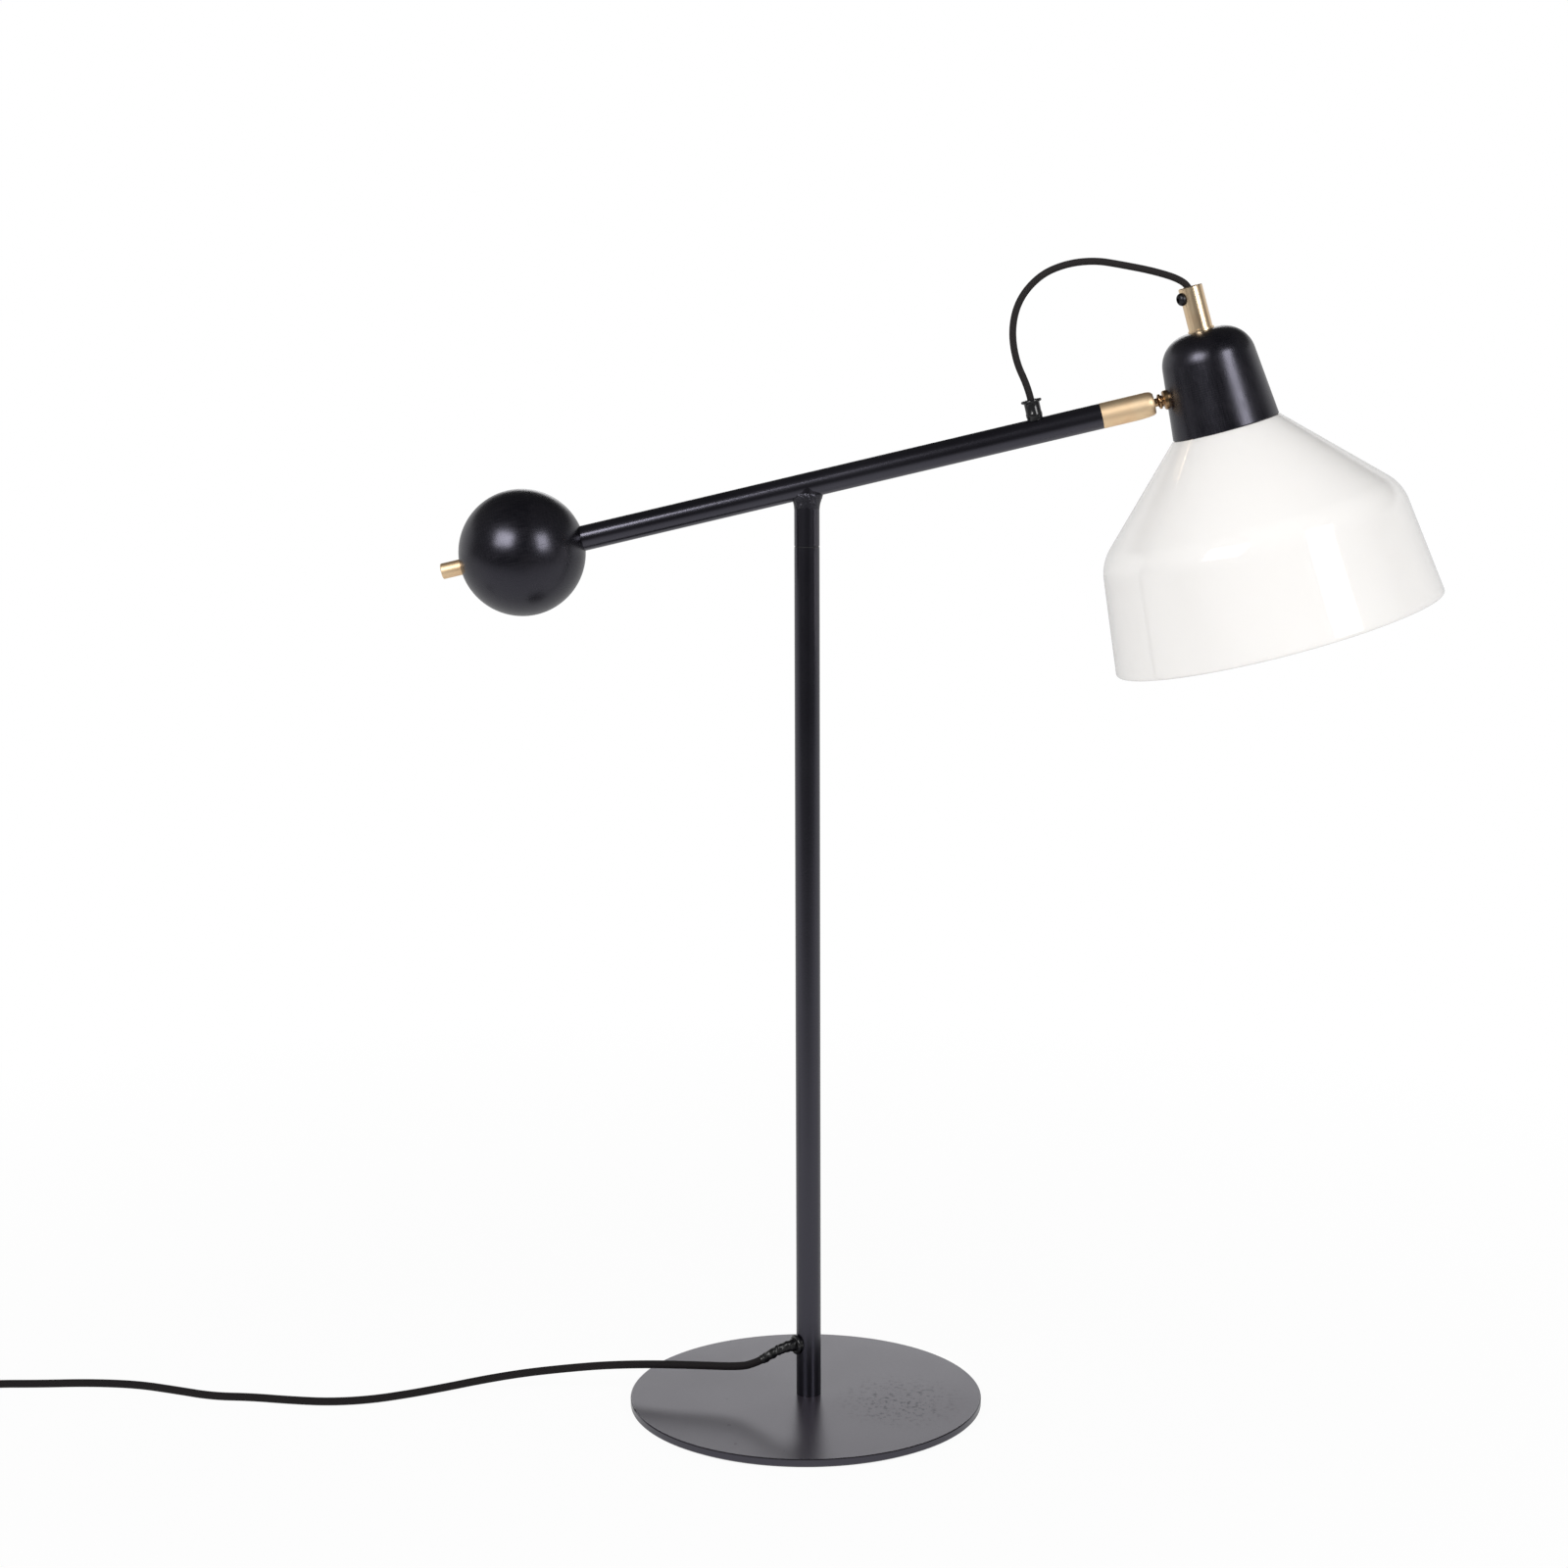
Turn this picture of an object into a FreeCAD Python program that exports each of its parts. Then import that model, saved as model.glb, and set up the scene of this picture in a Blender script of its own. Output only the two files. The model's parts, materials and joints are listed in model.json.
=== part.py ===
import FreeCAD, Part
import math
import os

# Desk lamp: a round plate, a pole, a tilted arm that swivels on the pole, a wooden ball at the
# arm's low end and a shaded head on a ball joint at its high end. Millimetres, +Z up, the origin
# at the centre of the resting face. The arm lies in the X Z plane and its head is towards +X.

V = FreeCAD.Vector

# Fits and clearances
running_gap = 0.05
slip_gap = 0.1
loose_gap = 0.3
cut_overrun = 5.0
edge_break = 0.5

# Shares: how far along a run of a cord's route a bend may start, and of a round corner's radius
# at its middle
corner_reach_share = 0.45
diagonal_share = math.sqrt(0.5)

# Base plate, pad and base screw
plate_radius = 115.0
plate_thickness = 5.0
plate_edge_break = 0.6
pad_radius = 112.0
pad_thickness = 1.2
pole_offset = 2.0
screw_radius = 4.0
screw_head_radius = 8.0
screw_head_height = 4.0
screw_length = 18.0
screw_socket_radius = 2.6
screw_socket_depth = 2.5
foot_plug_height = 20.0

# Tube of the pole, the stub and the arm
tube_radius = 8.0
tube_wall = 1.2

# Swivel at the top of the pole
stub_length = 38.4
swivel_washer_thickness = 0.6
pole_bush_height = 14.0
stub_bush_height = 12.0
nipple_radius = 5.0
nipple_bore = 3.2
swivel_nipple_below = 12.0
swivel_nut_radius = 6.3
swivel_nut_height = 3.0
swivel_nipple_above = 18.0

# Arm, its weld and its plug
arm_height = 601.0
arm_incline = 13.1
arm_low_end = 156.0
arm_high_end = 188.5
weld_drop = 14.0
weld_reach = 5.0
weld_flare = 2.4
end_plug_length = 14.0

# Ball at the low end and the rod that holds it
ball_distance = 184.2
ball_radius = 40.0
rod_tip_radius = 5.0
rod_tip_reach = 12.3
rod_head_length = 22.5
rod_shank_radius = 3.0

# Cord glands, one in the pole and one on the arm
gland_body_radius = 4.7
gland_lip_radius = 6.0
gland_lip_thickness = 1.6
gland_waist_radius = 4.4
gland_inside = 1.4
arm_gland_place = 148.0
arm_gland_height = 10.3
base_gland_height = 41.0
base_gland_turn = 208.0
base_gland_height_out = 2.6
lead_core_radius = 1.7

# Ball joint
joint_place = 216.0
joint_ball_radius = 5.5
housing_length = 33.5
housing_spigot = 12.0
housing_bore = 5.75
housing_nose_radius = 1.5
mouth_depth = 3.1
mouth_radius = 6.2
cup_front = 0.8
cup_length = 7.2
spring_count = 3
spring_thickness = 0.5
spring_rise = 0.9
spring_bore = 2.4
spring_radius = 5.4
backing_length = 5.0
backing_socket_radius = 2.3
backing_socket_depth = 3.0
neck_radius = 2.6
collar_radius = 6.1
collar_thickness = 3.6
collar_chamfer = 0.8
stud_shank_radius = 3.0
stud_washer_radius = 6.0
stud_washer_thickness = 1.0
stud_nut_across = 10.0
stud_nut_height = 4.5
shank_overhang = 1.0
inner_spotface_radius = 7.0

# Head: tilt, and where the stud meets it
head_tilt = 15.5
stud_height = 26.6
stud_to_axis = 45.4

# Wooden cap
cap_bottom_radius = 33.7
cap_taper = 5.7
cap_shoulder_height = 42.0
cap_dome_radius = 20.0
cap_height = 62.0
cap_wall = 5.2
cap_crown_wall = 7.0
cap_edge_break = 0.4

# Cord grip on the cap
grip_radius = 7.5
grip_length = 28.0
grip_bore = 4.5
grip_flange_radius = 8.2
grip_flange_height = 1.2
grip_thread_depth = 5.0
clamp_screw_below_top = 6.4
clamp_screw_turn = 211.0
clamp_head_radius = 3.3
clamp_head_height = 2.4
clamp_shank_radius = 1.5
clamp_socket_radius = 1.3
clamp_socket_depth = 1.3
head_nipple_engagement = 4.0
head_nut_across = 14.0
head_nut_height = 4.0

# Lampholder, shade ring and contacts
holder_radius = 19.8
holder_wall = 2.6
holder_above = 14.0
holder_below = 20.0
holder_flange_radius = 25.0
holder_flange_height = 2.5
holder_cap_height = 26.0
holder_cap_top_radius = 11.0
holder_cap_wall = 2.2
insert_bore = 14.2
insert_floor = 4.0
insert_top = 12.0
contact_width = 5.0
contact_height = 7.0
contact_place = 8.0
centre_contact_radius = 3.2
centre_contact_height = 0.7
shade_ring_radius = 27.0
shade_ring_height = 6.0

# Shade
shade_neck_radius = 34.0
shade_cone_angle = 45.0
shade_shoulder_radius = 96.0
shade_shoulder_fillet = 30.0
shade_rim_radius = 105.0
shade_height = 132.0
shade_wall = 2.8

# Bulb
bulb_radius = 30.0
bulb_base_radius = 13.2
bulb_base_length = 22.0
bulb_nub_radius = 4.5
bulb_nub_height = 1.6
bulb_neck_radius = 14.5
bulb_length = 84.0
bulb_glass_wall = 1.2

# Cord from the arm to the cap
loop_radius = 2.2
steps_from_gland = [
    (-2.1, 0.0, 8.9),
    (-10.2, -1.5, 25.6),
    (-13.0, -3.0, 45.6),
    (-8.5, -4.0, 63.6),
    (4.0, -4.6, 77.9),
    (20.0, -4.6, 84.8),
    (38.0, -4.0, 86.8),
]
steps_from_grip = [
    (-42.7, -3.0, 15.1),
    (-22.7, -1.6, 11.2),
    (-6.3, -0.6, 6.1),
]
grip_entry_depth = 2.0
grip_entry_length = 10.0

# Mains lead on its way to the switch
lead_radius = 2.6
sleeve_root_radius = 4.3
lead_route = [
    (-25.7, -6.9, 33.0),
    (-35.0, -6.0, 27.6),
    (-46.0, -1.0, 24.6),
    (-64.0, 3.0, 23.6),
    (-86.0, 6.0, 23.2),
    (-109.0, 9.6, 22.0),
    (-135.0, 14.6, 19.3),
    (-161.0, 18.8, 15.4),
    (-188.0, 21.4, 11.3),
    (-214.0, 19.2, 7.5),
    (-239.0, 12.6, 4.4),
    (-263.0, 3.6, 2.8),
    (-287.0, -6.8, 2.7),
    (-313.0, -10.8, 2.6),
    (-340.0, -7.6, 2.6),
    (-366.0, -2.4, 2.6),
    (-392.0, -1.2, 2.6),
    (-419.0, 9.8, 2.6),
    (-447.0, 20.0, 2.6),
    (-480.0, 22.8, 2.6),
    (-512.0, 20.4, 2.6),
    (-540.0, 20.1, 2.6),
    (-560.0, 16.6, 2.6),
    (-577.0, 11.0, 3.4),
    (-589.0, 9.0, 7.0),
    (-600.0, 9.0, 7.0),
]

# In-line switch
switch_length = 62.0
switch_width = 27.0
switch_height = 18.0
switch_end_share = 0.62
switch_split_share = 0.5
switch_corner = 5.0
switch_edge = 2.0
switch_wall = 2.0
rocker_length = 19.0
rocker_width = 10.0
rocker_gap = 0.5
rocker_crown = 2.6
rocker_depth = 4.4
rocker_pivot_radius = 1.5
rocker_bend = 14.0
switch_screw_radius = 1.6
switch_screw_head_radius = 2.8
switch_screw_head_height = 1.6
switch_screw_length = 14.0
switch_screw_place_share = 0.34

# Coil of the put-away lead, and its ends
coil_turn_count = 3
coil_turn_gap = 1.6
coil_layer_gap = 1.4
coil_outer_radius = 38.0
coil_centre_x = -728.0

# Where the short lengths at the coil bend, as shares and as steps from the coil's end
switch_lead_shares = (0.2, 0.42)
tail_steps = [
    (12.0, 0.0, 0.0),
    (27.0, -3.5, -2.4),
    (39.5, -13.0, -4.0),
    (45.0, -28.0, -3.3),
    (45.0, -41.0, -3.3),
]

# Tie around the coil, which lies on its lower side
tie_width = 8.0
tie_thickness = 0.8
tie_corner = 2.0
tie_turn_share = 0.75

# Plug
plug_length = 36.0
plug_width = 36.0
plug_height = 14.0
plug_neck_width = 13.0
plug_edge = 2.0
pin_radius = 2.0
pin_length = 19.0
pin_spacing = 18.6

# Directions and frames worked out from the sizes above
tube_bore = tube_radius - tube_wall
seam_height = arm_height - stub_length
coil_step = lead_radius * 2 + coil_turn_gap
coil_lift = lead_radius * 2 + coil_layer_gap
coil_floor = tie_thickness + loose_gap
plate_top = pad_thickness + plate_thickness
incline = math.radians(arm_incline)
tilt = math.radians(head_tilt)
arm_way = V(math.cos(incline), 0, math.sin(incline))
arm_up = V(-math.sin(incline), 0, math.cos(incline))
head_out = V(math.cos(tilt), 0, math.sin(tilt))
head_up = V(-math.sin(tilt), 0, math.cos(tilt))
arm_centre = V(pole_offset, 0, arm_height)
joint_centre = arm_centre + arm_way * joint_place
head_origin = joint_centre + head_out * stud_to_axis - head_up * stud_height
stub_foot = seam_height + swivel_washer_thickness
stub_bush_top = stub_foot + stub_bush_height


def turned(start, *steps):
    # A closed outline of (radius, height) points turned about Z; a step of two points is an arc
    # through the first of them to the second.
    edges = []
    first = V(start[0], 0, start[1])
    here = first
    for step in steps:
        if isinstance(step[0], tuple):
            middle = V(step[0][0], 0, step[0][1])
            end = V(step[1][0], 0, step[1][1])
            edges.append(Part.Arc(here, middle, end).toShape())
        else:
            end = V(step[0], 0, step[1])
            edges.append(Part.LineSegment(here, end).toShape())
        here = end
    edges.append(Part.LineSegment(here, first).toShape())
    face = Part.Face(Part.Wire(edges))
    return face.revolve(V(), V(0, 0, 1), 360)


def rod(radius, low, high, x=0.0, y=0.0):
    return Part.makeCylinder(radius, high - low, V(x, y, low))


def ring(outer, inner, low, high):
    hole = rod(inner, low - cut_overrun, high + cut_overrun)
    return rod(outer, low, high).cut(hole)


def hexagon(across, low, high):
    corner = across / math.sqrt(3)
    points = []
    for step in range(7):
        angle = math.radians(60 * step)
        points.append(V(corner * math.cos(angle), corner * math.sin(angle), low))
    face = Part.Face(Part.makePolygon(points))
    return face.extrude(V(0, 0, high - low))


def at_pole(shape):
    return placed(shape, V(pole_offset, 0, 0), V(0, 0, 1))


def on_arm(shape):
    # Z runs along the arm from the pole's axis, and X points down from it.
    return placed(shape, arm_centre, arm_way)


def on_joint(shape):
    # Z runs along the stud from the centre of the joint's ball.
    return placed(shape, joint_centre, head_out)


def on_head(shape):
    # Z runs up the cap from its bottom edge, and X points away from the arm.
    moved = shape.copy()
    turn = FreeCAD.Rotation(V(0, 1, 0), -head_tilt)
    moved.Placement = FreeCAD.Placement(head_origin, turn).multiply(moved.Placement)
    return moved


def placed(shape, origin, way):
    moved = shape.copy()
    turn = FreeCAD.Rotation(V(0, 0, 1), way)
    moved.Placement = FreeCAD.Placement(origin, turn).multiply(moved.Placement)
    return moved


def corner_arc(before, corner, after):
    # The largest tangent arc that the two runs allow at a corner: its two ends, its middle and
    # its radius.
    back = before - corner
    ahead = after - corner
    turn = math.pi - back.getAngle(ahead)
    reach = corner_reach_share * min(back.Length, ahead.Length)
    radius = reach / math.tan(turn / 2)
    back.normalize()
    ahead.normalize()
    inward = back + ahead
    inward.normalize()
    middle = corner + inward * (radius / math.cos(turn / 2) - radius)
    return corner + back * reach, middle, corner + ahead * reach, radius


def route_edges(points):
    edges = []
    radii = []
    here = points[0]
    for before, corner, after in zip(points, points[1:], points[2:]):
        start, middle, end, radius = corner_arc(before, corner, after)
        edges.append(Part.LineSegment(here, start).toShape())
        edges.append(Part.Arc(start, middle, end).toShape())
        radii.append(radius)
        here = end
    edges.append(Part.LineSegment(here, points[-1]).toShape())
    return edges, radii


def swept(edges, radius):
    path = Part.Wire(edges)
    start = edges[0].valueAt(edges[0].FirstParameter)
    way = edges[0].tangentAt(edges[0].FirstParameter)
    section = Part.Wire(Part.makeCircle(radius, start, way))
    return path.makePipeShell([section], True, False), path.Length


def cord(name, points, radius):
    edges, radii = route_edges(points)
    solid, length = swept(edges, radius)
    expected = math.pi * radius ** 2 * length
    rounded = ", ".join("%.0f" % value for value in radii)
    print("%s: length %.1f, volume share %.4f, radii %s"
          % (name, length, solid.Volume / expected, rounded))
    return solid


def vectors(route):
    return [V(x, y, z) for x, y, z in route]


def base_pieces():
    pieces = {}
    pieces["foot_pad"] = rod(pad_radius, 0, pad_thickness)

    plate = rod(plate_radius, pad_thickness, plate_top)
    rims = [edge for edge in plate.Edges if edge.Closed]
    plate = plate.makeChamfer(plate_edge_break, rims)
    head_seat = at_pole(turned(
        (0, pad_thickness - cut_overrun),
        (screw_head_radius + slip_gap, pad_thickness - cut_overrun),
        (screw_head_radius + slip_gap, pad_thickness),
        (screw_radius + slip_gap, pad_thickness + screw_head_height),
        (screw_radius + slip_gap, plate_top + cut_overrun),
        (0, plate_top + cut_overrun)))
    pieces["base_plate"] = plate.cut(head_seat)

    screw = turned(
        (0, pad_thickness),
        (screw_head_radius, pad_thickness),
        (screw_radius, pad_thickness + screw_head_height),
        (screw_radius, pad_thickness + screw_length),
        (0, pad_thickness + screw_length))
    socket = rod(screw_socket_radius, pad_thickness - cut_overrun,
                 pad_thickness + screw_socket_depth)
    pieces["base_screw"] = at_pole(screw.cut(socket))

    pieces["pole_foot_plug"] = at_pole(ring(
        tube_bore - running_gap, screw_radius + running_gap,
        plate_top, plate_top + foot_plug_height))
    return pieces


def gland_way():
    angle = math.radians(base_gland_turn)
    return V(math.cos(angle), math.sin(angle), 0)


def gland(height_out, tube_reach):
    # Lip, waist and the short neck that passes through the tube's wall; Z points outwards and
    # the tube's axis crosses Z at zero.
    face = tube_reach + height_out
    lip_foot = face - gland_lip_thickness
    return turned(
        (lead_core_radius + gland_inside, tube_bore - gland_inside),
        (gland_body_radius, tube_bore - gland_inside),
        (gland_body_radius, tube_reach),
        (gland_waist_radius, lip_foot - edge_break),
        (gland_lip_radius, lip_foot),
        (gland_lip_radius, face - edge_break),
        (gland_lip_radius - edge_break, face),
        (lead_core_radius + running_gap, face),
        (lead_core_radius + running_gap, tube_reach + edge_break))


def pole_pieces():
    pieces = {}
    pole = ring(tube_radius, tube_bore, plate_top, seam_height)
    hole = Part.makeCylinder(gland_body_radius + slip_gap, tube_radius + cut_overrun,
                             V(0, 0, base_gland_height), gland_way())
    pieces["pole_tube"] = at_pole(pole.cut(hole))

    pieces["base_cord_gland"] = placed(
        gland(base_gland_height_out, tube_radius),
        V(pole_offset, 0, base_gland_height), gland_way())

    pole_bush_foot = seam_height - pole_bush_height
    pieces["pole_top_bush"] = at_pole(ring(
        tube_bore - running_gap, nipple_radius, pole_bush_foot, seam_height))
    nipple_foot = seam_height - swivel_nipple_below
    nipple_top = stub_foot + swivel_nipple_above
    pieces["swivel_nipple"] = at_pole(ring(
        nipple_radius - running_gap, nipple_bore, nipple_foot, nipple_top))
    pieces["swivel_washer"] = at_pole(ring(
        tube_radius - edge_break, nipple_radius, seam_height, stub_foot))
    nut_foot = stub_bush_top + slip_gap
    pieces["swivel_locknut"] = at_pole(ring(
        swivel_nut_radius, nipple_radius, nut_foot, nut_foot + swivel_nut_height))

    core_foot = V(pole_offset, 0, base_gland_height)
    core = [core_foot + gland_way() * (tube_radius + base_gland_height_out - running_gap),
            core_foot, V(pole_offset, 0, nipple_top)]
    pieces["pole_lead"] = cord("pole_lead", core, lead_core_radius)
    return pieces


def stub_pieces():
    pieces = {}
    arm_bar = on_arm(rod(tube_radius, -arm_low_end, arm_high_end))
    stub = ring(tube_radius, tube_bore, stub_foot, arm_height)
    pieces["stub_tube"] = at_pole(stub).cut(arm_bar)
    pieces["stub_bush"] = at_pole(ring(
        tube_bore - running_gap, nipple_radius, stub_foot, stub_bush_top))

    bead = at_pole(turned(
        (tube_radius, arm_height - weld_drop),
        (tube_radius + weld_flare, arm_height - weld_reach),
        (tube_radius, arm_height - weld_reach)))
    pieces["arm_weld"] = bead.cut(arm_bar).cut(at_pole(
        rod(tube_radius, stub_foot, arm_height)))
    return pieces


def arm_pieces():
    pieces = {}
    arm = on_arm(ring(tube_radius, tube_bore, -arm_low_end, arm_high_end))
    lead_hole = rod(nipple_bore, arm_height - tube_radius - cut_overrun, arm_height)
    gland_hole = Part.makeCylinder(
        gland_body_radius + slip_gap, tube_radius + cut_overrun,
        arm_centre + arm_way * arm_gland_place, arm_up)
    pieces["arm_tube"] = arm.cut(at_pole(lead_hole)).cut(gland_hole)

    pieces["arm_end_plug"] = on_arm(ring(
        tube_bore - running_gap, rod_shank_radius + running_gap,
        -arm_low_end, end_plug_length - arm_low_end))
    pieces["arm_cord_gland"] = placed(
        gland(arm_gland_height, tube_radius),
        arm_centre + arm_way * arm_gland_place, arm_up)

    nipple_top = stub_foot + swivel_nipple_above
    core = [V(pole_offset, 0, nipple_top + loose_gap), arm_centre,
            arm_centre + arm_way * arm_gland_place,
            arm_centre + arm_way * arm_gland_place
            + arm_up * (tube_radius + arm_gland_height - running_gap)]
    pieces["arm_lead"] = cord("arm_lead", core, lead_core_radius)
    return pieces


def weight_pieces():
    # The wooden ball, counterbored for the rod's head, and the brass rod through it.
    pieces = {}
    ball = Part.makeSphere(ball_radius, V(0, 0, -ball_distance))
    head_foot = -ball_distance - ball_radius - rod_tip_reach + rod_head_length
    arm_socket = rod(tube_radius + slip_gap, -arm_low_end - slip_gap, arm_high_end)
    shank_hole = rod(rod_shank_radius + slip_gap, head_foot - cut_overrun, -arm_low_end)
    head_hole = rod(rod_tip_radius + slip_gap, -ball_distance - ball_radius - cut_overrun,
                    head_foot)
    pieces["ball_weight"] = on_arm(ball.cut(arm_socket).cut(shank_hole).cut(head_hole))

    tip = head_foot - rod_head_length
    bar = turned(
        (0, tip), (rod_tip_radius - edge_break, tip),
        (rod_tip_radius, tip + edge_break), (rod_tip_radius, head_foot),
        (rod_shank_radius, head_foot),
        (rod_shank_radius, end_plug_length - arm_low_end - edge_break),
        (0, end_plug_length - arm_low_end - edge_break))
    pieces["ball_rod"] = on_arm(bar)
    return pieces


def joint_pieces():
    # Turned about the arm's axis, with the joint's centre at zero.
    pieces = {}
    back = arm_high_end - joint_place
    front = back + housing_length
    seat = joint_ball_radius + running_gap
    lip = math.sqrt(seat ** 2 - mouth_depth ** 2)
    half_turn = math.asin(mouth_depth / seat) / 2
    nose_centre = (tube_radius - housing_nose_radius, front - housing_nose_radius)
    nose = housing_nose_radius * diagonal_share
    spigot = tube_bore - running_gap
    housing = turned(
        (housing_bore, back - housing_spigot),
        (spigot, back - housing_spigot),
        (spigot, back),
        (tube_radius, back),
        (tube_radius, nose_centre[1]),
        ((nose_centre[0] + nose, nose_centre[1] + nose), (nose_centre[0], front)),
        (mouth_radius, front),
        (lip, mouth_depth),
        ((seat * math.cos(half_turn), seat * math.sin(half_turn)), (seat, 0)),
        (housing_bore, 0))
    cup_back = -cup_front - cup_length
    cup = rod(housing_bore - slip_gap, cup_back, -cup_front)
    cup = cup.cut(Part.makeSphere(seat))

    springs = []
    foot = cup_back - slip_gap
    pitch = spring_rise + spring_thickness + running_gap
    for index in range(spring_count):
        low = foot - pitch * (index + 1)
        inner, outer = low, low + spring_rise
        if index % 2:
            inner, outer = outer, inner
        springs.append(turned(
            (spring_bore, inner), (spring_radius, outer),
            (spring_radius, outer + spring_thickness),
            (spring_bore, inner + spring_thickness)))
    screw_front = foot - pitch * spring_count - running_gap
    screw_back = screw_front - backing_length
    backing = rod(housing_bore - running_gap, screw_back, screw_front)
    socket = hexagon(backing_socket_radius * 2, screw_back - cut_overrun,
                     screw_back + backing_socket_depth)

    for name, shape in (("joint_housing", housing), ("joint_seat_cup", cup),
                        ("joint_springs", Part.makeCompound(springs)),
                        ("joint_backing_screw", backing.cut(socket))):
        pieces[name] = placed(shape, joint_centre, arm_way)

    seat_face, inner_face = cap_seats()
    neck = rod(neck_radius, 0, seat_face)
    collar = turned(
        (0, seat_face - collar_thickness),
        (collar_radius - collar_chamfer, seat_face - collar_thickness),
        (collar_radius, seat_face - collar_thickness + collar_chamfer),
        (collar_radius, seat_face), (0, seat_face))
    nut_foot = inner_face + stud_washer_thickness
    nut_top = nut_foot + stud_nut_height
    shank = rod(stud_shank_radius, seat_face - collar_thickness, nut_top + shank_overhang)
    stud = Part.makeSphere(joint_ball_radius).fuse([neck, collar, shank]).removeSplitter()
    pieces["joint_stud"] = on_joint(stud)
    hole = stud_shank_radius + running_gap
    pieces["stud_washer"] = on_joint(ring(stud_washer_radius, hole, inner_face, nut_foot))
    nut = hexagon(stud_nut_across, nut_foot, nut_top)
    pieces["stud_nut"] = on_joint(nut.cut(rod(hole, nut_foot - cut_overrun,
                                              nut_top + cut_overrun)))
    return pieces


def cap_radius_at(height):
    return cap_bottom_radius - height * math.tan(math.radians(cap_taper))


def cap_seats():
    # How far from the joint's centre the flat seats outside and inside the cap's wall are.
    side = cap_radius_at(stud_height)
    taper = math.tan(math.radians(cap_taper))
    flat = side - math.sqrt(side ** 2 - (collar_radius + slip_gap) ** 2)
    outer = stud_to_axis - side + flat + collar_radius * taper
    inner = stud_to_axis - side + cap_wall - inner_spotface_radius * taper
    return outer, inner


def cap_outline(inset):
    # The cap's side, its rounded shoulder and its flat crown, drawn in by a wall.
    taper = math.radians(cap_taper)
    crown = cap_height - (cap_crown_wall if inset else 0)
    dome = cap_dome_radius - inset
    shoulder = cap_radius_at(cap_shoulder_height) - inset / math.cos(taper)
    centre_height = crown - dome
    side = shoulder + (cap_shoulder_height - centre_height) * math.tan(taper)
    centre = side - dome / math.cos(taper)
    start = (centre + dome * math.cos(taper), centre_height + dome * math.sin(taper))
    half = (math.pi / 2 + taper) / 2
    middle = (centre + dome * math.cos(half), centre_height + dome * math.sin(half))
    return start, (middle, (centre, crown))


def cap_piece():
    start, dome = cap_outline(0)
    foot = loose_gap
    outer = turned(
        (0, foot), (cap_radius_at(foot) - cap_edge_break, foot),
        (cap_radius_at(foot + cap_edge_break), foot + cap_edge_break),
        start, dome, (0, cap_height))
    inner_start, inner_dome = cap_outline(cap_wall)
    inner_foot = foot - cut_overrun
    inner = turned(
        (0, inner_foot), (cap_radius_at(inner_foot) - cap_wall, inner_foot),
        inner_start, inner_dome, (0, cap_height - cap_crown_wall))
    cap = outer.cut(inner)
    cap = cap.cut(rod(nipple_radius + slip_gap, 0, cap_height + cut_overrun))

    seat_face, inner_face = cap_seats()
    spotface = rod(collar_radius + slip_gap, 0, seat_face)
    shank_hole = rod(stud_shank_radius + slip_gap, 0, inner_face + cut_overrun)
    inner_spotface = rod(inner_spotface_radius, inner_face, stud_to_axis)
    return on_head(cap).cut(on_joint(spotface)).cut(on_joint(shank_hole)).cut(
        on_joint(inner_spotface))


def grip_pieces():
    pieces = {}
    top = cap_height + grip_length
    grip = turned(
        (nipple_radius + running_gap, cap_height),
        (grip_flange_radius, cap_height),
        (grip_flange_radius, cap_height + grip_flange_height),
        (grip_radius, cap_height + grip_flange_height),
        (grip_radius, top - edge_break), (grip_radius - edge_break, top),
        (grip_bore, top), (grip_bore, cap_height + grip_thread_depth),
        (nipple_radius + running_gap, cap_height + grip_thread_depth))
    angle = math.radians(clamp_screw_turn)
    way = V(math.cos(angle), math.sin(angle), 0)
    centre = V(0, 0, top - clamp_screw_below_top)
    grip = grip.cut(Part.makeCylinder(clamp_shank_radius + running_gap, grip_radius
                                      + cut_overrun, centre, way))
    pieces["grip_tube"] = on_head(grip)

    head_foot = grip_radius + running_gap
    crown = head_foot + clamp_head_height
    bulge = clamp_head_radius * diagonal_share
    round_head = turned(
        (0, head_foot), (clamp_head_radius, head_foot),
        ((bulge, head_foot + clamp_head_height * diagonal_share), (0, crown)))
    shank = rod(clamp_shank_radius, loop_radius + running_gap, head_foot)
    socket = hexagon(clamp_socket_radius * 2, crown - clamp_socket_depth, crown + cut_overrun)
    screw = round_head.fuse(shank).removeSplitter().cut(socket)
    pieces["clamp_screw"] = on_head(placed(screw, centre, way))

    nipple_foot = holder_above + holder_cap_height - head_nipple_engagement
    nipple = ring(nipple_radius, nipple_bore, nipple_foot, cap_height + grip_thread_depth
                  - running_gap)
    pieces["head_nipple"] = on_head(nipple)
    nut_top = cap_height - cap_crown_wall
    nut_foot = nut_top - head_nut_height
    nut = hexagon(head_nut_across, nut_foot, nut_top)
    pieces["head_nut"] = on_head(nut.cut(rod(
        nipple_radius + running_gap, nut_foot - cut_overrun, nut_top + cut_overrun)))

    entry = top - grip_entry_depth - grip_entry_length
    pieces["head_lead"] = on_head(rod(lead_core_radius, insert_top, entry))
    return pieces


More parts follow.
